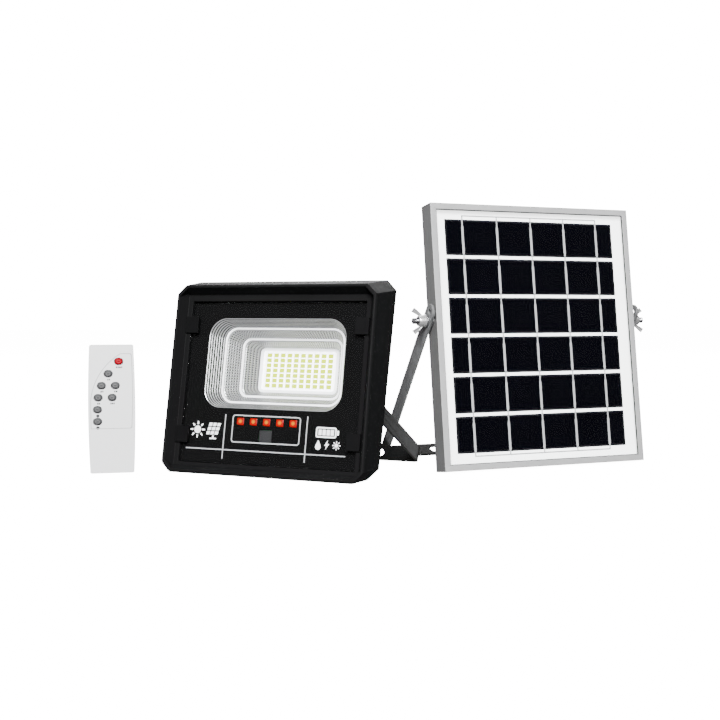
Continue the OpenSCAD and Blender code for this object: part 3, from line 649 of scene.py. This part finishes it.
def lamp_print():
    """White symbols and grey rules printed behind the glass, below the window."""
    bm = bmesh.new()
    sun_symbol(bm, -62.6, 35.3)
    panel_symbol(bm, -48.2, 36.4, 11.2)
    battery_symbol(bm, 49.6, 37.6)
    drop_symbol(bm, 43.6, 26.6)
    bolt_symbol(bm, 50.8, 28.2, 0.9)
    sun_symbol(bm, 58.8, 28.2, 1.5, 2.1, 3.4, 8, 0.42)
    finished("lamp_symbols", bm, LAMP, "lamp_head", INK)
    bm = bmesh.new()
    rule = 0.45
    ink_bar(bm, -38.3 - rule, -38.3 + rule, 13.4, 48.2)
    ink_bar(bm, 33.2 - rule, 33.2 + rule, 14.1, 49.1)
    for x0, x1 in ((-71.8, -38.3 - rule), (-38.3 + rule, 33.2 - rule), (33.2 + rule, 66.7)):
        ink_bar(bm, x0, x1, 20.4 - rule, 20.4 + rule)
    box_x, box_z, box_w, box_h, line = -2.05, 37.35, 59.6, 21.8, 0.95
    outer = ring_points(box_w, box_h, 2.4, 6, box_x, box_z)
    inner = ring_points(box_w - 2 * line, box_h - 2 * line, 1.5, 6, box_x, box_z)
    strip_loop(bm, outer, inner, INK_FRONT, INK_BACK)
    finished("lamp_rules", bm, LAMP, "lamp_head", FINE_INK)


LED_X, LED_Z, LED_PITCH, LED_W, LED_H = -2, 43.3, 11.5, 6.3, 5.2


def indicator_leds():
    """Five lit lenses, each with its own origin so that its glow is centred on it."""
    for i in range(-2, 3):
        bm = bmesh.new()
        layers = []
        for inset, y in ((1.1, -0.35), (0.5, -0.25), (0.1, 0.0), (0.0, 0.3), (0.0, 5.0)):
            layers.append((ring_points(LED_W - 2 * inset, LED_H - 2 * inset, 0.7, 3), y))
        stack(bm, layers)
        place = LAMP @ Matrix.Translation(Vector((LED_X + i * LED_PITCH, 11.75, LED_Z)) * MM)
        name = f"indicator_lens_{i + 3}"
        finished(name, bm, place, "lamp_head", RED_GLOW, ["indicator_leds"])


# Width, height, corner radius, depth and sideways place of each tier, at its front and at its back
TIERS = (
    ((120, 71.5, 15, 11.6, 0), (106, 61.5, 11, 25, 0.8)),
    ((102, 57.5, 9.5, 25, 0.8), (90, 49, 8, 38, 1.7)),
    ((85, 45, 6.5, 38, 1.7), (70.5, 37, 4.5, 50.4, 2.6)),
)
FACET_ROWS = (7, 6, 5)
FACETS_X, FACETS_Z, FACETS_CORNER = 34, 16, 7
SAMPLES = 4
RIDGE, PILLOW = (0.5, 0.34, 0.3), (0.06, 0.42, 0.4)
WALL = 1.0
LIP = (1.6, 1.9, 2.4)


def facet_outline(w, h, r, x):
    """Points and inward directions round a tier about x, with the same number on every outline."""
    points = []
    sides = (
        ((w / 2, -h / 2 + r), (w / 2, h / 2 - r), (-1, 0), FACETS_Z, (w / 2 - r, h / 2 - r), 0),
        ((w / 2 - r, h / 2), (-w / 2 + r, h / 2), (0, -1), FACETS_X, (-w / 2 + r, h / 2 - r), 1),
        ((-w / 2, h / 2 - r), (-w / 2, -h / 2 + r), (1, 0), FACETS_Z, (-w / 2 + r, -h / 2 + r), 2),
        ((-w / 2 + r, -h / 2), (w / 2 - r, -h / 2), (0, 1), FACETS_X, (w / 2 - r, -h / 2 + r), 3),
    )
    for start, end, inward, cells, centre, quarter in sides:
        for i in range(cells * SAMPLES):
            t = i / (cells * SAMPLES)
            points.append(((start[0] + t * (end[0] - start[0]), start[1] + t * (end[1] - start[1])), inward))
        for i in range(FACETS_CORNER * SAMPLES):
            a = (quarter + i / (FACETS_CORNER * SAMPLES)) * math.pi / 2
            out = (math.cos(a), math.sin(a))
            points.append(((centre[0] + r * out[0], centre[1] + r * out[1]), (-out[0], -out[1])))
    return [((u + x, v), inward) for (u, v), inward in points]


def facet_layer(outline, y, row_phase, ridge, pillow):
    """One row round a tier, pushed in by its ridge and by the facets' pillows."""
    across = math.sin(math.pi * row_phase)
    points = []
    for i, ((x, z), (nx, nz)) in enumerate(outline):
        around = math.sin(math.pi * (i % SAMPLES) / SAMPLES)
        push = ridge * across + pillow * across * around
        points.append((x + push * nx, z + LIGHT_Z + push * nz))
    return points, y


def reflector():
    """Three stepped tiers of pillowed facets, each facet's middle painted dark as painted shade, with a pale
    glowing lip round each step as painted light.
    """
    layers = []
    lips = bmesh.new()
    for tier, (front, back) in enumerate(TIERS):
        rows = FACET_ROWS[tier] * SAMPLES
        for k in range(rows + 1):
            t = k / rows
            w, h, r, y, x = (a + t * (b - a) for a, b in zip(front, back))
            phase = (k % SAMPLES) / SAMPLES
            layers.append(facet_layer(facet_outline(w, h, r, x), y, phase, RIDGE[tier], PILLOW[tier]))
        w, h, r, y, x = back
        rings = []
        for inset in (-0.3, LIP[tier]):
            outline = ring_points(w - 2 * inset, h - 2 * inset, max(r - inset, 1), 8, x, LIGHT_Z)
            rings.append(outline)
        strip_loop(lips, rings[0], rings[1], y - 0.9, y - 0.4)
        inset = 0.9
        layers.append(facet_layer(facet_outline(w - 2 * inset, h - 2 * inset, r - inset, x), y, 0, 0, 0))
    for front, back in reversed(TIERS):
        for w, h, r, y, x in (back, front):
            outline = facet_outline(w + 2 * WALL, h + 2 * WALL, r + WALL, x)
            layers.append(facet_layer(outline, y + (0.6 if y == back[3] else 0), 0, 0, 0))
    w, h, r, y, x = TIERS[0][0]
    for grow, depth in ((4, 1.2), (4, 0)):
        outline = facet_outline(w + 2 * grow, h + 2 * grow, r + grow, x)
        layers.append(facet_layer(outline, y + depth, 0, 0, 0))
    bm = bmesh.new()
    stack(bm, layers, closed=True)
    # Painted shade: the middle faces of every facet are marked to take the reflector's dark colour.
    hollow = bm.faces.layers.float.new("hollow")
    around = len(layers[0][0])
    bm.faces.ensure_lookup_table()
    row = 0
    for tier, count in enumerate(FACET_ROWS):
        for k in range(count * SAMPLES):
            for i in range(around):
                across = k % SAMPLES in (1, 2)
                along = tier == 0 or i % SAMPLES in (1, 2)
                bm.faces[(row + k) * around + i][hollow] = 1.0 if across and along else 0.0
        row += count * SAMPLES + 2
    finished("reflector_facets", bm, LAMP, "lamp_head", CHROME, replaces=["reflector"], smooth=50)
    # Painted light: the lips glow, though they are no lamp.
    finished("reflector_lips", lips, LAMP, "lamp_head", LIP_LIT)


CHIP_COLUMNS, CHIP_ROWS, CHIP_STEP_X, CHIP_STEP_Z = 10, 7, 6.13, 4.15
CHIP_W, CHIP_H, CHIPS_X = 4.5, 3.5, 2.6
BOARD_Y = 51


def led_chips():
    """White chip packages, each with a domed phosphor pad."""
    cases, pads = bmesh.new(), bmesh.new()
    for i in range(CHIP_COLUMNS):
        for j in range(CHIP_ROWS):
            x = CHIPS_X + (i - (CHIP_COLUMNS - 1) / 2) * CHIP_STEP_X
            z = LIGHT_Z + (j - (CHIP_ROWS - 1) / 2) * CHIP_STEP_Z
            outer = ring_points(CHIP_W, CHIP_H, 0.25, 2, x, z)
            top = ring_points(CHIP_W - 0.2, CHIP_H - 0.2, 0.2, 2, x, z)
            stack(cases, [(top, BOARD_Y - 0.6), (outer, BOARD_Y - 0.5), (outer, BOARD_Y)])
            pad = [(CHIP_W - 0.5, CHIP_H - 0.4, -0.7), (CHIP_W - 0.25, CHIP_H - 0.2, -0.66)]
            layers = [(ring_points(w, h, 0.35, 3, x, z), BOARD_Y + y) for w, h, y in pad]
            layers.append((layers[-1][0], BOARD_Y - 0.6))
            stack(pads, layers)
    # Painted light: the white packages glow, though they are no lamp.
    finished("led_packages", cases, LAMP, "lamp_head", BOARD_LIT, ["led_chips"])
    finished("led_pads", pads, LAMP, "lamp_head", PHOSPHOR)


# ---------------------------------------------------------------- lamp head: the back

TUB_BACK = 52.6


def pan_screws(name, places, y_head, nodes, unit, body):
    """Pan-head screws seen from behind, each with a cross recess."""
    bm, cross = bmesh.new(), bmesh.new()
    for x, z in places:
        profile = [(0, 0), (1.45, 0), (1.45, 5), (2.8, 5), (2.8, 6.1), (2.5, 6.6), (1.7, 6.9), (0, 7)]
        rings = turned(bm, [(r, y_head - 5 + y) for r, y in profile], (x, z), 24)
        bmesh.ops.pointmerge(bm, verts=rings[0], merge_co=rings[0][0].co)
        bmesh.ops.pointmerge(bm, verts=rings[-1], merge_co=rings[-1][0].co)
        arm, half = 1.55, 0.32
        outline = [
            (half, half), (half, arm), (-half, arm), (-half, half), (-arm, half), (-arm, -half),
            (-half, -half), (-half, -arm), (half, -arm), (half, -half), (arm, -half), (arm, half)
        ]
        turn = math.radians(17 + 61 * ((x * 7 + z * 3) % 3))
        points = [
            (x + u * math.cos(turn) - v * math.sin(turn), z + u * math.sin(turn) + v * math.cos(turn))
            for u, v in outline
        ]
        prism(cross, points, y_head + 0.9, y_head + 3)
    cutter = finished(name + "_cross", cross, unit, body, STEEL)
    screws = finished(name, bm, unit, body, STEEL, nodes)
    cut = screws.modifiers.new("cross", "BOOLEAN")
    cut.operation = "DIFFERENCE"
    cut.object = cutter
    cut.solver = "EXACT"
    bpy.context.view_layer.update()
    dg = bpy.context.evaluated_depsgraph_get()
    made = bpy.data.meshes.new_from_object(screws.evaluated_get(dg))
    screws.modifiers.clear()
    screws.data = made
    made.shade_smooth()
    made.set_sharp_from_angle(angle=math.radians(35))
    bpy.data.objects.remove(cutter)


GLAND_X, GLAND_Z = -60, 46


def gland_cap():
    """Dome nut of the cable gland, with grip flutes round it."""
    start, end = TUB_BACK + 4.2, TUB_BACK + 14
    profile = [
        (6.7, start), (7.0, start + 0.3), (7.0, end - 4.4), (6.3, end - 1.6), (5.0, end - 0.2),
        (4.4, end), (3.8, end), (3.5, end - 0.4), (3.5, end - 2.7), (5.05, end - 2.8), (5.05, start)
    ]
    bm = bmesh.new()
    fluted_loop(bm, profile, 144, 18, 0.35, 6.5, lambda u, v, y: (GLAND_X + u, y, GLAND_Z + v))
    finished("gland_cap_fluted", bm, LAMP, "lamp_head", GLAND, ["gland_cap"], 40)


def lamp_head():
    refined("lamp_housing", LAMP, BLACK, 0.45)
    refined("glass_clips", LAMP, CLIP, 0.4)
    refined("heat_sink", LAMP, SINK, 0.25)
    refined("rear_cover", LAMP, BLACK, 0.7, 3)
    refined("cable_gland", LAMP, GLAND, 0.3)
    lamp_glass()
    lamp_print()
    indicator_leds()
    reflector()
    led_chips()
    gland_cap()
    pan_screws("heat_sink_screw_heads", [(x, z) for x in (-51, 51) for z in (61, 117)], TUB_BACK + 4,
               ["heat_sink_screws"], LAMP, "lamp_head")
    pan_screws("cover_screw_heads", [(x, z) for x in (-46, 46) for z in (18, 50)], TUB_BACK + 4.5,
               ["rear_cover_screws"], LAMP, "lamp_head")
    repaint("printed_mask", PRINT)
    # Painted light: the LED board glows, though it is no lamp.
    repaint("led_board", BOARD_LIT)
    for node in ("glass_gasket", "rear_cover_gasket", "tilt_washers"):
        repaint(node, RUBBER)
    for node in ("led_board_screws", "tilt_screws"):
        repaint(node, STEEL)
    for node in ("battery_holder", "gland_nut"):
        repaint(node, GLAND)
    repaint("control_board", CIRCUIT)
    repaint("ir_receiver", SENSOR)
    repaint("battery_cells", SLEEVE)


def lamp_bracket():
    """Painted steel strip, with painted shade on its base."""
    base = lowest("lamp_bracket", BRACKET) + 5
    refined("lamp_bracket", BRACKET, painted("bracket_paint", (0.036, 0.036, 0.0365), 0.5, foot=base), 0.35)


# ---------------------------------------------------------------- solar panel

PANEL_W, PANEL_H = 184.4, 211.4
GLASS_SHEET_BACK = 4.6
LIP_IN = 5.0
CELL_W, CELL_H, CELL_LOW, CELL_ROWS = 156.75, 28.9, 13.4, 6
CELL_PITCH = (186.1 - CELL_H) / 5
RIBBONS = 5
STAND_HALF = 96.2
THREAD_PITCH, THREAD_DEPTH = 0.8, 0.38


def cell_strips():
    """Six dark strips, each with a fine lighter line just inside its edge."""
    cells, lines = bmesh.new(), bmesh.new()
    for i in range(CELL_ROWS):
        z = CELL_LOW + i * CELL_PITCH + CELL_H / 2
        prism(cells, ring_points(CELL_W, CELL_H, 0.3, 2, 0, z), 4.8, 5.0)
        inset, line = 1.0, 0.22
        outer = ring_points(CELL_W - 2 * inset, CELL_H - 2 * inset, 0.3, 2, 0, z)
        inner = ring_points(CELL_W - 2 * inset - 2 * line, CELL_H - 2 * inset - 2 * line, 0.2, 2, 0, z)
        strip_loop(lines, outer, inner, 4.77, 4.8)
    finished("cell_strips", cells, PANEL, "solar_panel", CELL, ["solar_cells"])
    finished("cell_edge_lines", lines, PANEL, "solar_panel", OUTLINE)


def glass_seal():
    """Dark line of sealant where the frame's lip meets the glass."""
    bm = bmesh.new()
    w, h, line = PANEL_W - 2 * LIP_IN, PANEL_H - 2 * LIP_IN, 0.55
    outer = ring_points(w, h, 0.4, 2, 0, PANEL_H / 2)
    inner = ring_points(w - 2 * line, h - 2 * line, 0.3, 2, 0, PANEL_H / 2)
    strip_loop(bm, outer, inner, 0.9, 1.35)
    finished("glass_seal", bm, PANEL, "solar_panel", RUBBER)


def cell_ribbons():
    """Tinned ribbons, wide over each strip and narrow where they pass to the next one."""
    bm = bmesh.new()
    pitch = CELL_W / RIBBONS
    low = CELL_LOW - 3
    high = CELL_LOW + (CELL_ROWS - 1) * CELL_PITCH + CELL_H + 3.5
    neck, wide, taper = 0.55, 0.98, 1.6
    front, back = GLASS_SHEET_BACK + 0.02, GLASS_SHEET_BACK + 0.17
    for i in range(RIBBONS):
        x = (i - (RIBBONS - 1) / 2) * pitch
        halves = [(low, neck)]
        for row in range(CELL_ROWS):
            start = CELL_LOW + row * CELL_PITCH + 0.6
            end = start + CELL_H - 5.2
            halves += [(start, neck), (start + taper, wide), (end - taper, wide), (end, neck)]
        halves.append((high, neck))
        right = [(x + half, z) for z, half in halves]
        left = [(x - half, z) for z, half in reversed(halves)]
        prism(bm, right + left, front, back)
    reach = (RIBBONS - 1) / 2 * pitch + neck
    for z in (low, high - 1):
        bar(bm, -reach, reach, z, z + 1, back, back + 0.02)
    finished("cell_ribbon_strips", bm, PANEL, "solar_panel", TIN, ["cell_ribbons"])


def pivot_bolts():
    """Hexagon bolts through the rails, threaded where the wing nuts turn."""
    for side, name in ((-1, "left"), (1, "right")):
        bm = bmesh.new()
        start, end = PANEL_W / 2 - 1.4, STAND_HALF + 12
        head = disc_points(4.6, count=6)
        stack(bm, [(head, start - 3.5), (head, start)])
        thread_start, count, steps = STAND_HALF + 1, 24, 64
        rings = turned(bm, [(0, start), (2.5, start), (2.5, thread_start)], count=count)
        bmesh.ops.pointmerge(bm, verts=rings[0], merge_co=rings[0][0].co)
        rings = rings[-1:]
        length = end - 0.5 - thread_start
        for k in range(1, steps + 1):
            y = thread_start + length * k / steps
            ring = []
            for i in range(count):
                a = 2 * math.pi * i / count
                wave = abs(((y / THREAD_PITCH - i / count) % 1) * 2 - 1)
                r = 2.5 - THREAD_DEPTH * wave
                ring.append(bm.verts.new((r * math.cos(a), y, r * math.sin(a))))
            rings.append(ring)
        turns = [2 * math.pi * i / count for i in range(count)]
        rings.append([bm.verts.new((1.8 * math.cos(a), end, 1.8 * math.sin(a))) for a in turns])
        join_rings(bm, rings)
        bm.faces.new(rings[-1])
        along_x(bm, side, (0, PANEL_PIVOT_Y, PANEL_PIVOT_Z))
        finished("pivot_bolt_" + name, bm, PANEL, "solar_panel", STEEL, replaces=["panel_pivot_bolts"])


def wing_nut(side, node):
    """Hub with two flared blades that lean outwards, each with ribs along it."""
    bm = bmesh.new()
    base = STAND_HALF + 1.1
    profile = [
        (2.55, 0), (4.9, 0), (5.2, 0.4), (5.0, 1.6), (4.4, 4.2), (4.2, 5.6), (3.9, 6.0), (2.55, 6.0)
    ]
    rings = turned(bm, [(r, base + y) for r, y in profile], count=40)
    join_rings(bm, [rings[-1], rings[0]])
    for up in (1, -1):
        # Blade sections from the hub out: place along the bolt and up, half width, half thickness
        sections = ((2.2, 2.9, 0.9, 1.0), (4.0, 4.8, 1.1, 0.8), (7.1, 7.0, 1.65, 0.75), (10.1, 9.0, 1.9, 0.7))
        rows = []
        for y, z, half, thick in sections:
            lean = Vector((0.66, -0.75))
            row = []
            for s, t in ((-1, -0.7), (-1, 0.7), (-0.72, 1), (-0.35, 0.6), (0.35, 0.6), (0.72, 1), (1, 0.7),
                         (1, -0.7), (0.72, -1), (0.35, -0.6), (-0.35, -0.6), (-0.72, -1)):
                place = Vector((y, z)) + lean * s * half
                row.append(bm.verts.new((t * thick, base + place[0], up * place[1])))
            rows.append(row)
        join_rings(bm, rows)
        bm.faces.new(rows[0])
        bm.faces.new(list(reversed(rows[-1])))
    along_x(bm, side, (0, PANEL_PIVOT_Y, PANEL_PIVOT_Z))
    finished(node + "_blades", bm, PANEL, node, WING, [node], 40)


BOX_Z, BOX_H, LID_BACK = 168, 46, 15.6


def junction_box():
    """Box behind the panel: rounded case, ribbed lid with screws, fluted gland."""
    refined("junction_box", PANEL, GLAND, 0.6)
    refined("junction_box_lid", PANEL, GLAND, 0.6)
    bm = bmesh.new()
    for i in range(5):
        z = BOX_Z - 12 + 6 * i
        ribs = [(ring_points(40, 1.6, 0.75, 3, 0, z), LID_BACK - 0.3)]
        ribs.append((ring_points(39.4, 1.2, 0.55, 3, 0, z), LID_BACK + 0.5))
        stack(bm, ribs)
    finished("junction_lid_ribs", bm, PANEL, "solar_panel", GLAND)
    bm = bmesh.new()
    profile = [(2.25, -10), (3.6, -10), (4.3, -9.2), (4.3, -0.2), (2.25, -0.2)]
    box_foot, gland_y = BOX_Z - BOX_H / 2, 9.8
    fluted_loop(bm, profile, 96, 12, 0.3, 3.7, lambda u, v, z: (u, gland_y + v, box_foot + z))
    finished("junction_gland_fluted", bm, PANEL, "solar_panel", GLAND, ["junction_gland"], 40)


def solar_panel():
    refined("frame_rail_left", PANEL, ANODISED_UP, 0.3)
    refined("frame_rail_right", PANEL, ANODISED_UP, 0.3)
    refined("frame_rail_top", PANEL, ANODISED, 0.3)
    refined("frame_rail_bottom", PANEL, ANODISED, 0.3)
    glass_seal()
    cell_strips()
    cell_ribbons()
    pivot_bolts()
    junction_box()
    wing_nut(-1, "wing_nut_left")
    wing_nut(1, "wing_nut_right")
    refined("wing_nut_washers", PANEL, STEEL, 0.2)
    repaint("panel_glass", GLASS)
    # Painted light: the backsheet glows, though it is no lamp.
    repaint("backsheet", SHEET)
    for node in ("panel_spacers", "blocking_diode", "corner_keys"):
        repaint(node, STEEL)


def panel_stand():
    """Galvanised steel strip, with painted shade on its base."""
    base = lowest("panel_stand", STAND) + 13
    refined("panel_stand", STAND, galvanised("stand_zinc", (0.12, 0.122, 0.124), 0.5, base), 0.3)


# ---------------------------------------------------------------- remote

REMOTE_H = 100
KEYS = ((5.5, 12.8), (-2.5, 22.3), (-7.7, 31.6), (2.8, 31.6), (-10.3, 40.9), (0.3, 40.9), (-10.9, 50.2),
        (-10.9, 59.5))
KEY_NODES = ("button_red",) + tuple(f"button_{i}" for i in range(1, 8))
KEY_PROUD = 0.9


def oval(w, h, x, z, steps=10):
    return ring_points(w, h, h / 2 - 0.01, steps, x, z)


def remote_buttons():
    """Domed keys with a small ring moulded on top of each."""
    for (x, top), node in zip(KEYS, KEY_NODES):
        z = REMOTE_H - top
        bm = bmesh.new()
        layers = []
        for inset, y in ((1.9, -0.02), (1.2, 0.0), (0.55, 0.14), (0.2, 0.4), (0.0, 0.85), (0.0, 2.7)):
            layers.append((oval(6.1 - 2 * inset, 4.9 - 2 * inset, x, z), y - KEY_PROUD + 0.02))
        collar = oval(7.2, 6.0, x, z)
        layers += [(collar, 1.85), (collar, 2.55)]
        stack(bm, layers)
        red = node == "button_red"
        material = KEY_RED if red else KEY_GREY
        finished(node + "_dome", bm, REMOTE, node, material, [node], 50)
        bm = bmesh.new()
        strip_loop(bm, oval(3.0, 2.1, x, z), oval(2.5, 1.6, x, z), -KEY_PROUD, -KEY_PROUD + 0.06)
        finished(node + "_ring", bm, REMOTE, node, KEY_RING_RED if red else KEY_RING)


def key_field_outline(grow=0.0):
    """The key field: a big arc on its left, straight and slightly bowed sides elsewhere."""
    centre, radius = Vector((31.3, REMOTE_H - 47.4)), 47.4 + grow
    low, high, right = REMOTE_H - 65 - grow, REMOTE_H - 6.8 + grow, 15.2 + grow
    points = []
    start = math.acos(max(-1, (-16.0 - grow - centre.x) / radius))
    end = math.pi - math.asin((high - centre.y) / radius)
    for i in range(33):
        a = start + (end - start) * i / 32
        points.append((centre.x + radius * math.cos(a), centre.y + radius * math.sin(a)))
    corner = 1.6
    for i in range(9):
        a = math.pi / 2 * (1 - i / 8)
        points.append((right - corner + corner * math.cos(a), high - corner + corner * math.sin(a)))
    for i in range(1, 12):
        t = i / 12
        bow = 0.7 * math.sin(math.pi * t)
        points.append((right + bow, high - corner - t * (high - low - 2 * corner)))
    for i in range(9):
        a = -math.pi / 2 * i / 8
        points.append((right - corner + corner * math.cos(a), low + corner + corner * math.sin(a)))
    points.append((-15.8 - grow, low))
    return points


def remote_print():
    """A raised line round the key field, small marks below the keys, and a dark ring round each key as
    painted shade of the gap.
    """
    bm = bmesh.new()
    strip_loop(bm, key_field_outline(0.25), key_field_outline(-0.25), -0.05, 0.05)
    finished("key_field_line", bm, REMOTE, "remote", EDGE_INK)
    bm = bmesh.new()
    marks = ((1.1, 0.7, 1.2, 0.8), (0.7, 1.0), (1.2, 0.8), (0.8, 1.3), (1.0, 0.8), (0.8, 1.0, 0.8))
    for (x, top), widths in zip(KEYS[:6], marks):
        gap = 0.35
        left = x + 0.3 - (sum(widths) + gap * (len(widths) - 1)) / 2
        z = REMOTE_H - top - 4.6
        for width in widths:
            bar(bm, left, left + width, z - 0.65, z + 0.65, -0.03, 0.03)
            left += width + gap
    for x, top in KEYS[6:]:
        prism(bm, disc_points(1.3, x + 0.2, REMOTE_H - top - 4.9), -0.03, 0.03)
    # Painted shade: a dark ring round each key stands in for the shade in the gap round it.
    for x, top in KEYS:
        z = REMOTE_H - top
        strip_loop(bm, oval(7.1, 5.9, x, z), oval(6.35, 5.15, x, z), -0.04, 0.1)
    finished("key_marks_and_gap_shade", bm, REMOTE, "remote", GAP_SHADE_AND_LABEL_INK)


def remote():
    refined("remote_front_shell", REMOTE, REMOTE_WHITE, 0.1, pick=front_outline, picked_width=1.1)
    refined("remote_rear_shell", REMOTE, REMOTE_WHITE, 0.1, pick=rear_outline, picked_width=1.1)
    remote_buttons()
    remote_print()
    refined("battery_tray", REMOTE, REMOTE_WHITE, 0.15)
    repaint("remote_key_mat", RUBBER)
    repaint("remote_board", CIRCUIT)
    repaint("ir_emitter", IR_LENS)
    repaint("coin_cell", COIN)


def on_outline(x, z):
    """True near the remote's outer outline, and not at its key holes."""
    return abs(x) > 15.5 or z < 1 or z > REMOTE_H - 1


def front_outline(point):
    return abs(point.y) < 0.01 and on_outline(point.x, point.z)


def rear_outline(point):
    return abs(point.y - 10.5) < 0.01 and on_outline(point.x, point.z)


# ---------------------------------------------------------------- stage, light and camera


def stage():
    """A pale floor and a white surround, which is dim to everything but the eye."""
    bm = bmesh.new()
    half = 6.0
    corners = ((-half, -half), (half, -half), (half, half), (-half, half))
    bm.faces.new([bm.verts.new((x, y, 0)) for x, y in corners])
    mesh = bpy.data.meshes.new("floor")
    bm.to_mesh(mesh)
    bm.free()
    s = Shader("floor_white")
    s.colour(s.mix(s.noise(400), (0.86, 0.86, 0.86), (0.9, 0.9, 0.9)))
    s.set(Roughness=0.9, Specular_IOR_Level=0.0, Emission_Strength=FLOOR_GLOW)
    s.bsdf.inputs["Emission Color"].default_value = (1, 1, 1, 1)
    mesh.materials.append(s.material)
    floor = bpy.data.objects.new("floor", mesh)
    bpy.context.scene.collection.objects.link(floor)
    floor.visible_diffuse = False
    floor.visible_glossy = False

    world = bpy.data.worlds.new("studio")
    bpy.context.scene.world = world
    world.use_nodes = True
    tree = world.node_tree
    background = tree.nodes["Background"]
    path = tree.nodes.new("ShaderNodeLightPath")
    amount = tree.nodes.new("ShaderNodeMapRange")
    amount.inputs["To Min"].default_value = WORLD_FILL
    amount.inputs["To Max"].default_value = WORLD_SEEN
    tree.links.new(path.outputs["Is Camera Ray"], amount.inputs["Value"])
    tree.links.new(amount.outputs["Result"], background.inputs["Strength"])
    background.inputs["Color"].default_value = (1, 1, 1, 1)


def soft_light(name, place, aim, size, power):
    light = bpy.data.lights.new(name, "AREA")
    light.shape = "RECTANGLE"
    light.size, light.size_y = size
    light.energy = power
    lamp = bpy.data.objects.new(name, light)
    bpy.context.scene.collection.objects.link(lamp)
    lamp.location = place
    lamp.rotation_euler = (Vector(aim) - Vector(place)).to_track_quat("-Z", "Y").to_euler()


FLOOR_GLOW, WORLD_FILL, WORLD_SEEN = 15.0, 0.3, 18.0
CAMERA_FROM_PIVOT = Vector((0.0631, -0.8620, 0.0737))
CAMERA_PITCH = 2.62
LENS_MM, SENSOR_MM = 55, 36


def camera():
    data = bpy.data.cameras.new("camera")
    data.lens = LENS_MM
    data.sensor_width = SENSOR_MM
    data.sensor_fit = "HORIZONTAL"
    data.clip_start, data.clip_end = 0.01, 50
    eye = bpy.data.objects.new("camera", data)
    bpy.context.scene.collection.objects.link(eye)
    eye.location = Vector(JOINTS["lamp_tilt"]["pos_m"]) + CAMERA_FROM_PIVOT
    eye.rotation_euler = (math.radians(90 - CAMERA_PITCH), 0, 0)
    bpy.context.scene.camera = eye


camera()
stage()
soft_light("key", (-0.25, -1.8, 1.4), (0, 0, 0.1), (1.0, 0.8), 190)
soft_light("front", (0.3, -2.2, 0.8), (0, 0, 0.1), (1.0, 0.8), 60)
soft_light("overhead", (-0.1, 0.3, 1.9), (0, 0, 0.1), (1.6, 1.2), 22)
soft_light("left", (-2.0, 0.2, 0.7), (0, 0, 0.1), (1.0, 1.2), 5)
soft_light("right", (2.0, 0.3, 0.9), (0, 0, 0.1), (1.0, 1.2), 5)
soft_light("behind", (0.3, 1.8, 1.5), (0, 0, 0.1), (1.6, 1.0), 75)

lamp_head()
lamp_bracket()
solar_panel()
panel_stand()
remote()
